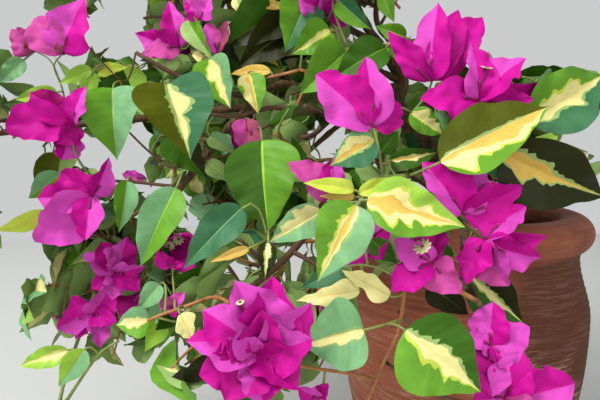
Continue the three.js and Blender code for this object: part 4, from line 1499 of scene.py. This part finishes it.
    def add_front_bloom(self, star, root_place, *bracts):
        root = spot(*root_place)
        mass = self.mass_at(root)
        headings = []
        for across, down, depth, share, shade in bracts:
            tip = spot(across, down, depth)
            length, heading, face = facing(root, tip, self.rng.uniform(-0.6, 0.6))
            headings.append(heading)
            cup = self.rng.uniform(0.25, 0.6)
            lifted = unit(heading + face * math.sin(cup / 2))
            width = length * share * 1.12
            self.add_bract(mass, root, lifted, face, length * 1.06, width, shade, cup, "fine_bract")
            reach = min(length * 0.36, self.blossom.tube_length * 0.8)
            self.add_flower(mass, root + face * 0.0012, heading + face * 0.35, reach)
            self.keep_front_spots(root, tip, share)
        stalk_way = unit(-np.mean(headings, axis=0)) + np.array((0, 0.8, -0.2))
        self.join(mass, root, -stalk_way)
        if star:
            way = spot(*star[0]) - root
            self.add_flower(mass, root, way, np.linalg.norm(way), star[1] * MM)

    def keep_front_spots(self, root, tip, share):
        """Remembers where a front blade shows, so that nothing grows before it."""
        side = unit(np.cross(tip - root, CAMERA_PLACE - root)) * np.linalg.norm(tip - root) * share / 2
        for along, wide in ((0.15, 0.5), (0.35, 0.9), (0.55, 0.8), (0.75, 0.45), (0.95, 0.0)):
            middle = root + (tip - root) * along
            self.front_spots += [middle + side * aside for aside in ((-wide, 0.0, wide) if wide else (0.0,))]

    def grow_front(self, limbs):
        """The twigs, leaves and blooms that show at the front of the photograph's view."""
        for row in FRONT_TWIGS.values():
            self.add_front_twig(*row)
        for row in FRONT_LEAVES.values():
            self.add_front_leaf(*row)
        for name, row in FRONT_BLOOMS.items():
            self.add_front_bloom(FRONT_STARS.get(name), *row)
        self.front_spots += [*limbs["trunk"].points[20:], *limbs["top"].points[:40]]
        self.front_seen = seen_at(np.array(self.front_spots))

    def may_show(self, points):
        """True where a filling leaf neither hides a front blade nor closes an open part of the view."""
        across, down, depth = seen_at(points)
        if not ((depth > NEAREST_DEPTH) & in_frame(across, down)).any():
            return True
        for left, top, right, bottom in OPEN_VIEWS.values():
            if ((across > left) & (across < right) & (down > top) & (down < bottom)).any():
                return False
        front_across, front_down, front_depth = [values[None, :] for values in self.front_seen]
        near = np.hypot(front_across - across[:, None], front_down - down[:, None]) < BLADE_PIXELS
        return not (near & (depth[:, None] < front_depth + BLADE_DEPTH)).any()

    def leaf_fits(self, mass, root, heading, face, length, width, reach_share):
        """True if a leaf stays in its mass's reach, off the pot and the other leaves, and may show."""
        side = unit(np.cross(face, heading)) * width * 0.45
        low, middle, centre, high, tip = [root + heading * length * s for s in (0.2, 0.4, 0.45, 0.7, 1.0)]
        points = np.array([low, middle + side, middle - side, high, tip])
        if not (inside_mass(mass, points, reach_share).all() and inside_box(points) and clear_of_pot(points)):
            return False
        spots = self.blade_spots
        if spots and np.linalg.norm(np.array(spots) - centre, axis=1).min() < LEAF_SPACING:
            return False
        if not self.may_show(points):
            return False
        spots.append(centre)
        return True

    def leaf_kind(self, mass, root):
        """A shade, and for some leaves a marking, dealt out by chance; darker shades inside are painted
        shade.
        """
        outward = np.linalg.norm((root - MIDDLES[mass]) / REACHES[mass])
        if self.rng.random() < 1.05 - 1.35 * outward:
            return self.dealt(*SHADED_INNER_SHADES)
        shade = self.dealt(OUTER_SHADES, SHADE_SHARES[QUARTER_OF[mass]])
        if self.rng.random() > self.leaf.marked:
            return shade
        return f"{shade}_{self.dealt(*DEALT_MARKINGS)}"

    def dealt(self, names, shares):
        return str(self.rng.choice(names, p=shares))

    def dress_twig(self, mass, path, count, reach_share=LEAF_REACH):
        """Leaves set round a twig from its tip inwards, each on its own stalk; returns how many."""
        rng = self.rng
        smallest, largest = LEAF_SIZES[QUARTER_OF[mass]]
        along = unit(path[-1] - path[0])
        across, other = self.crossways(along)
        placed = 0
        for index in range(count):
            place = path[int((0.98 - 0.19 * index) * (len(path) - 1))]
            for attempt in range(LEAF_TRIES):
                angle = index * 2.4 + rng.normal() * 0.3 + attempt * 1.1
                sideways = across * math.cos(angle) + other * math.sin(angle)
                heading = along * 0.5 + sideways * 0.9 + rng.normal(size=3) * 0.22
                heading = unit(heading - UP * 0.22)
                face = unit(place - MIDDLES[mass]) + UP * 0.6 + rng.normal(size=3) * 0.35
                size = rng.uniform(smallest, largest) * (0.75 if index == 0 else 1.0)
                stalk = self.leaf.length * rng.uniform(0.14, 0.26)
                root = place + heading * stalk + UP * 0.002
                length = self.leaf.length * size
                width = self.leaf.width * size * rng.uniform(0.88, 1.12)
                if self.leaf_fits(mass, root, heading, face, length, width, reach_share):
                    self.add_leaf(mass, root, heading, face, length, width, self.leaf_kind(mass, root))
                    stalk_path = arch(place, place + sideways * stalk * 0.5, root, 8)
                    self.shoots[QUARTER_OF[mass]].add(stalk_path, *STALK_RADII, WOODS["stalk"])
                    placed += 1
                    break
        return placed

    def bloom_at(self, mass, tip, along):
        """Three bracts round a twig's tip, each with its flower; returns how many blooms."""
        rng = self.rng
        settings = self.blossom
        across, other = self.crossways(along)
        shade = self.dealt(*DEALT_BRACTS)
        size = rng.uniform(0.7, 1.1)
        length = settings.bract_length * size
        centre = tip + along * length * 0.5
        side = across * length * 0.6
        points = np.array([centre, tip + along * length, centre + side, centre - side])
        if not inside_mass(mass, points, BLOOM_REACH).all() or not clear_of_pot(points):
            return 0
        if not self.may_show(points) or (in_picture(centre) and rng.random() < 0.8):
            return 0
        stars = 2 if rng.random() < 0.35 else 0
        for index in range(3):
            angle = index * math.tau / 3 + rng.normal() * 0.12
            out = across * math.cos(angle) + other * math.sin(angle)
            heading = unit(along + out * rng.uniform(0.75, 1.1))
            width = settings.bract_width * size * rng.uniform(0.92, 1.1)
            self.add_bract(mass, tip, heading, along - out * 0.6, length, width, shade, -0.5)
            star_radius = settings.star_radius if index < stars else 0.0
            self.add_flower(mass, tip, along + out * 0.35, settings.tube_length * size, star_radius)
        self.blade_spots.append(centre)
        return 1

    def twig_ends(self, mass, count):
        """Where a mass's twigs end: spread evenly all round, and a few that wander past its edge."""
        ends, wanderers = [], []
        turn = math.tau * self.rng.random()
        for index in range(count):
            height = 1 - (2 * index + 1) / count
            angle = turn + index * math.pi * (3 - math.sqrt(5))
            level = math.sqrt(1 - height * height)
            away = np.array((level * math.cos(angle), level * math.sin(angle), height)) * REACHES[mass]
            ends.append(MIDDLES[mass] + away * self.rng.uniform(*TWIG_END_REACH))
            if index % 4 == 1:
                wanderers.append(MIDDLES[mass] + away * self.rng.uniform(*WANDERER_END_REACH))
        return ends, wanderers

    def grow_mass(self, mass, stem):
        """Twigs from the nearest perch, finer shoots on them, and leaves and blooms on those."""
        bloom, seed = MASSES[mass][2:]
        rng = self.rng = np.random.default_rng(seed)
        perches = [stem.at(share) for share in np.linspace(0.2, 0.97, 8)]
        ends, wanderers = self.twig_ends(mass, TWIG_COUNTS[QUARTER_OF[mass]])
        ends.sort(key=lambda end: np.linalg.norm(end - perches[0]))
        for end in ends + wanderers:
            wanders = not inside_mass(mass, end, INNER_REACH)
            if wanders and in_picture(end):
                continue
            start = min(perches, key=lambda perch: np.linalg.norm(perch - end))
            distance = np.linalg.norm(end - start)
            points = np.linspace(start, end, 8)
            if distance < SHORTEST_TWIG or not clear_of_pot(points) or not inside_box(points):
                continue
            pull = (start + end) / 2 + UP * (0.12 * distance) + rng.normal(size=3) * 0.05 * distance
            path = evenly_spaced(arch(start, pull, end), self.TWIG_POINTS)
            if not self.may_show(path[self.TWIG_POINTS // 2:]):
                continue
            placed = self.dress_twig(mass, path, LEAVES_ON_TWIG, WANDERING_REACH if wanders else LEAF_REACH)
            along = unit(path[-1] - path[-6])
            for share in (0.45, 0.75):
                placed += self.grow_shoot(mass, path[int(share * (self.TWIG_POINTS - 1))], along, bloom)
            if rng.random() < bloom:
                placed += self.bloom_at(mass, path[-1], along)
            if placed:
                kind = "twig" if rng.random() < 0.6 else "shoot"
                self.add_twig(self.twigs, mass, path, *TWIG_RADII, kind)
                self.add_thorns(mass, path, 2)
                perches.append(path[self.TWIG_POINTS // 2])

    def grow_shoot(self, mass, start, along, bloom):
        """A short shoot on a twig with its own leaves; returns how many it bears."""
        rng = self.rng
        side, _ = self.crossways(along)
        way = unit(along * 0.7 + side * 0.8 + UP * 0.25)
        end = start + way * rng.uniform(0.028, 0.05)
        ends = end[None, :]
        if not (inside_mass(mass, end, INNER_REACH) and clear_of_pot(ends) and self.may_show(ends)):
            return 0
        shoot = arch(start, start + along * 0.012, end, 16)
        placed = self.dress_twig(mass, shoot, LEAVES_ON_SHOOT)
        if rng.random() < bloom * 0.45:
            placed += self.bloom_at(mass, end, way)
        if placed:
            kind = "shoot" if rng.random() < 0.5 else "stalk"
            self.add_twig(self.shoots, mass, shoot, *SHOOT_RADII, kind)
        return placed

    def add_thorns(self, mass, path, count):
        """Short curved thorns along a twig."""
        for _ in range(count):
            index = self.rng.integers(3, 20)
            start = path[index]
            along = unit(path[index + 1] - start)
            out, _ = self.crossways(along)
            end = start + out * 0.008 + along * 0.003
            thorn = arch(start, start + out * 0.006, end, 6)
            self.shoots[QUARTER_OF[mass]].add(thorn, *THORN_RADII, WOODS["twig"])


class BUSH_OT_crown(bpy.types.Operator):
    """Grow the twigs, leaves and blossom of every mass"""

    bl_idname = "bush.crown"
    bl_label = "Crown"

    def execute(self, context):
        scene = context.scene
        limbs = grow_limbs(scene.bush_limbs)
        crown = Crown(scene)
        stems = {mass: grow_stem(mass, limbs[mass]) for mass in MASSES}
        crown.wood += [limbs[name].points[10:] for name in BOUGHS]
        for mass, stem in stems.items():
            crown.add_twig(crown.twigs, mass, stem.points, stem.radii[0], stem.radii[-1] * 0.7, "twig")
        crown.grow_front(limbs)
        for mass in QUARTER_OF:
            crown.grow_mass(mass, stems[mass])

        wood = wood_finishes(scene.bush_limbs, {"twig_wood": 0.8, "young_shoot": 0.6, "leaf_stalk": 0.55})
        flower = wood_finishes(
            scene.bush_blossom, {"flower_tube": 0.6, "flower_star": 0.5, "flower_throat": 0.5}
        )
        rng = np.random.default_rng(scene.bush_leaves.seed)
        for quarter, masses in QUARTERS.items():
            blades = crown.blades[quarter]
            leaves, twigs, bracts, flowers = Pile(), Pile(), Pile(), Pile()
            for kind in ("plain", "marked", "fine"):
                blades[kind].into(leaves, scene.bush_leaves.thickness, rng)
            for kind in ("bract", "fine_bract"):
                blades[kind].into(bracts, scene.bush_blossom.bract_thickness, rng)
            crown.twigs[quarter].into(twigs)
            crown.shoots[quarter].into(twigs)
            crown.tubes[quarter].into(flowers)
            stars_into(flowers, crown.stars[quarter])
            nodes = ["foliage_" + mass for mass in masses]
            finished(leaves.mesh("leaves_" + quarter), crown.leaves.materials, nodes)
            finished(twigs.mesh("twigs_" + quarter), wood)
            finished(bracts.mesh("bracts_" + quarter), crown.bracts.materials)
            finished(flowers.mesh("flowers_" + quarter), flower)
        return {"FINISHED"}


class BUSH_OT_stage(bpy.types.Operator):
    """Set the floor, the soft light and the photograph's camera"""

    bl_idname = "bush.stage"
    bl_label = "Stage"

    # Place and size of each light, and the middle of the crown that they point at
    LIGHTS = {
        "key": ((-1.5, -1.3, 2.3), 1.0),
        "fill": ((0.3, -1.9, 0.7), 1.6),
        "back": ((-0.6, 1.6, 1.9), 1.6),
    }
    CROWN_MIDDLE = Vector((-0.18, -0.05, 0.38))

    def add(self, name, data, place):
        item = bpy.data.objects.new(name, data)
        item.location = place
        bpy.context.scene.collection.objects.link(item)
        return item

    def execute(self, context):
        scene = context.scene
        settings = scene.bush_stage
        bm = bmesh.new()
        bmesh.ops.create_circle(bm, cap_ends=True, segments=96, radius=settings.floor_radius)
        finish = Finish("pale_floor", Base_Color=tuple(settings.floor), Roughness=0.9)
        linked(mesh_from(bm, "floor"), [finish.material])

        scene.world = bpy.data.worlds.new("pale_world")
        scene.world.use_nodes = True
        background = scene.world.node_tree.nodes["Background"]
        background.inputs["Color"].default_value = settings.backdrop
        background.inputs["Strength"].default_value = settings.world_strength
        scene.view_settings.view_transform = "Standard"

        for name, (place, size) in self.LIGHTS.items():
            light = bpy.data.lights.new(name + "_light", "AREA")
            light.size = size
            light.energy = getattr(settings, name + "_power")
            lamp = self.add(name + "_light", light, place)
            lamp.rotation_euler = (self.CROWN_MIDDLE - lamp.location).to_track_quat("-Z", "Y").to_euler()

        camera = bpy.data.cameras.new("photo_camera")
        camera.lens = CAMERA_LENS
        camera.sensor_width = CAMERA_SENSOR
        camera.clip_start = 0.01
        scene.camera = self.add("photo_camera", camera, CAMERA_PLACE)
        scene.camera.rotation_euler = (math.pi / 2 - CAMERA_PITCH, 0, 0)
        return {"FINISHED"}


class BUSH_PT_panel(bpy.types.Panel):
    """The bush's steps and settings"""

    bl_idname = "BUSH_PT_panel"
    bl_label = "Bush"
    bl_space_type = "VIEW_3D"
    bl_region_type = "UI"
    bl_category = "Bush"

    def draw(self, context):
        for operator in OPERATORS:
            self.layout.operator(operator.bl_idname)
        for name, settings in SETTINGS.items():
            box = self.layout.box()
            for item in settings.__annotations__:
                box.prop(getattr(context.scene, name), item)


SETTINGS = {
    "bush_pot": PotSettings,
    "bush_soil": SoilSettings,
    "bush_limbs": LimbSettings,
    "bush_leaves": LeafSettings,
    "bush_blossom": BlossomSettings,
    "bush_stage": StageSettings,
}
OPERATORS = (BUSH_OT_stage, BUSH_OT_pot, BUSH_OT_soil, BUSH_OT_limbs, BUSH_OT_crown)
CLASSES = (*SETTINGS.values(), *OPERATORS, BUSH_PT_panel)


def register():
    for item in CLASSES:
        bpy.utils.register_class(item)
    for name, settings in SETTINGS.items():
        setattr(bpy.types.Scene, name, bpy.props.PointerProperty(type=settings))


def unregister():
    for name in SETTINGS:
        delattr(bpy.types.Scene, name)
    for item in reversed(CLASSES):
        bpy.utils.unregister_class(item)


def main():
    register()
    bpy.ops.bush.stage()
    bpy.ops.bush.pot()
    bpy.ops.bush.soil()
    bpy.ops.bush.limbs()
    bpy.ops.bush.crown()


if __name__ == "__main__":
    main()
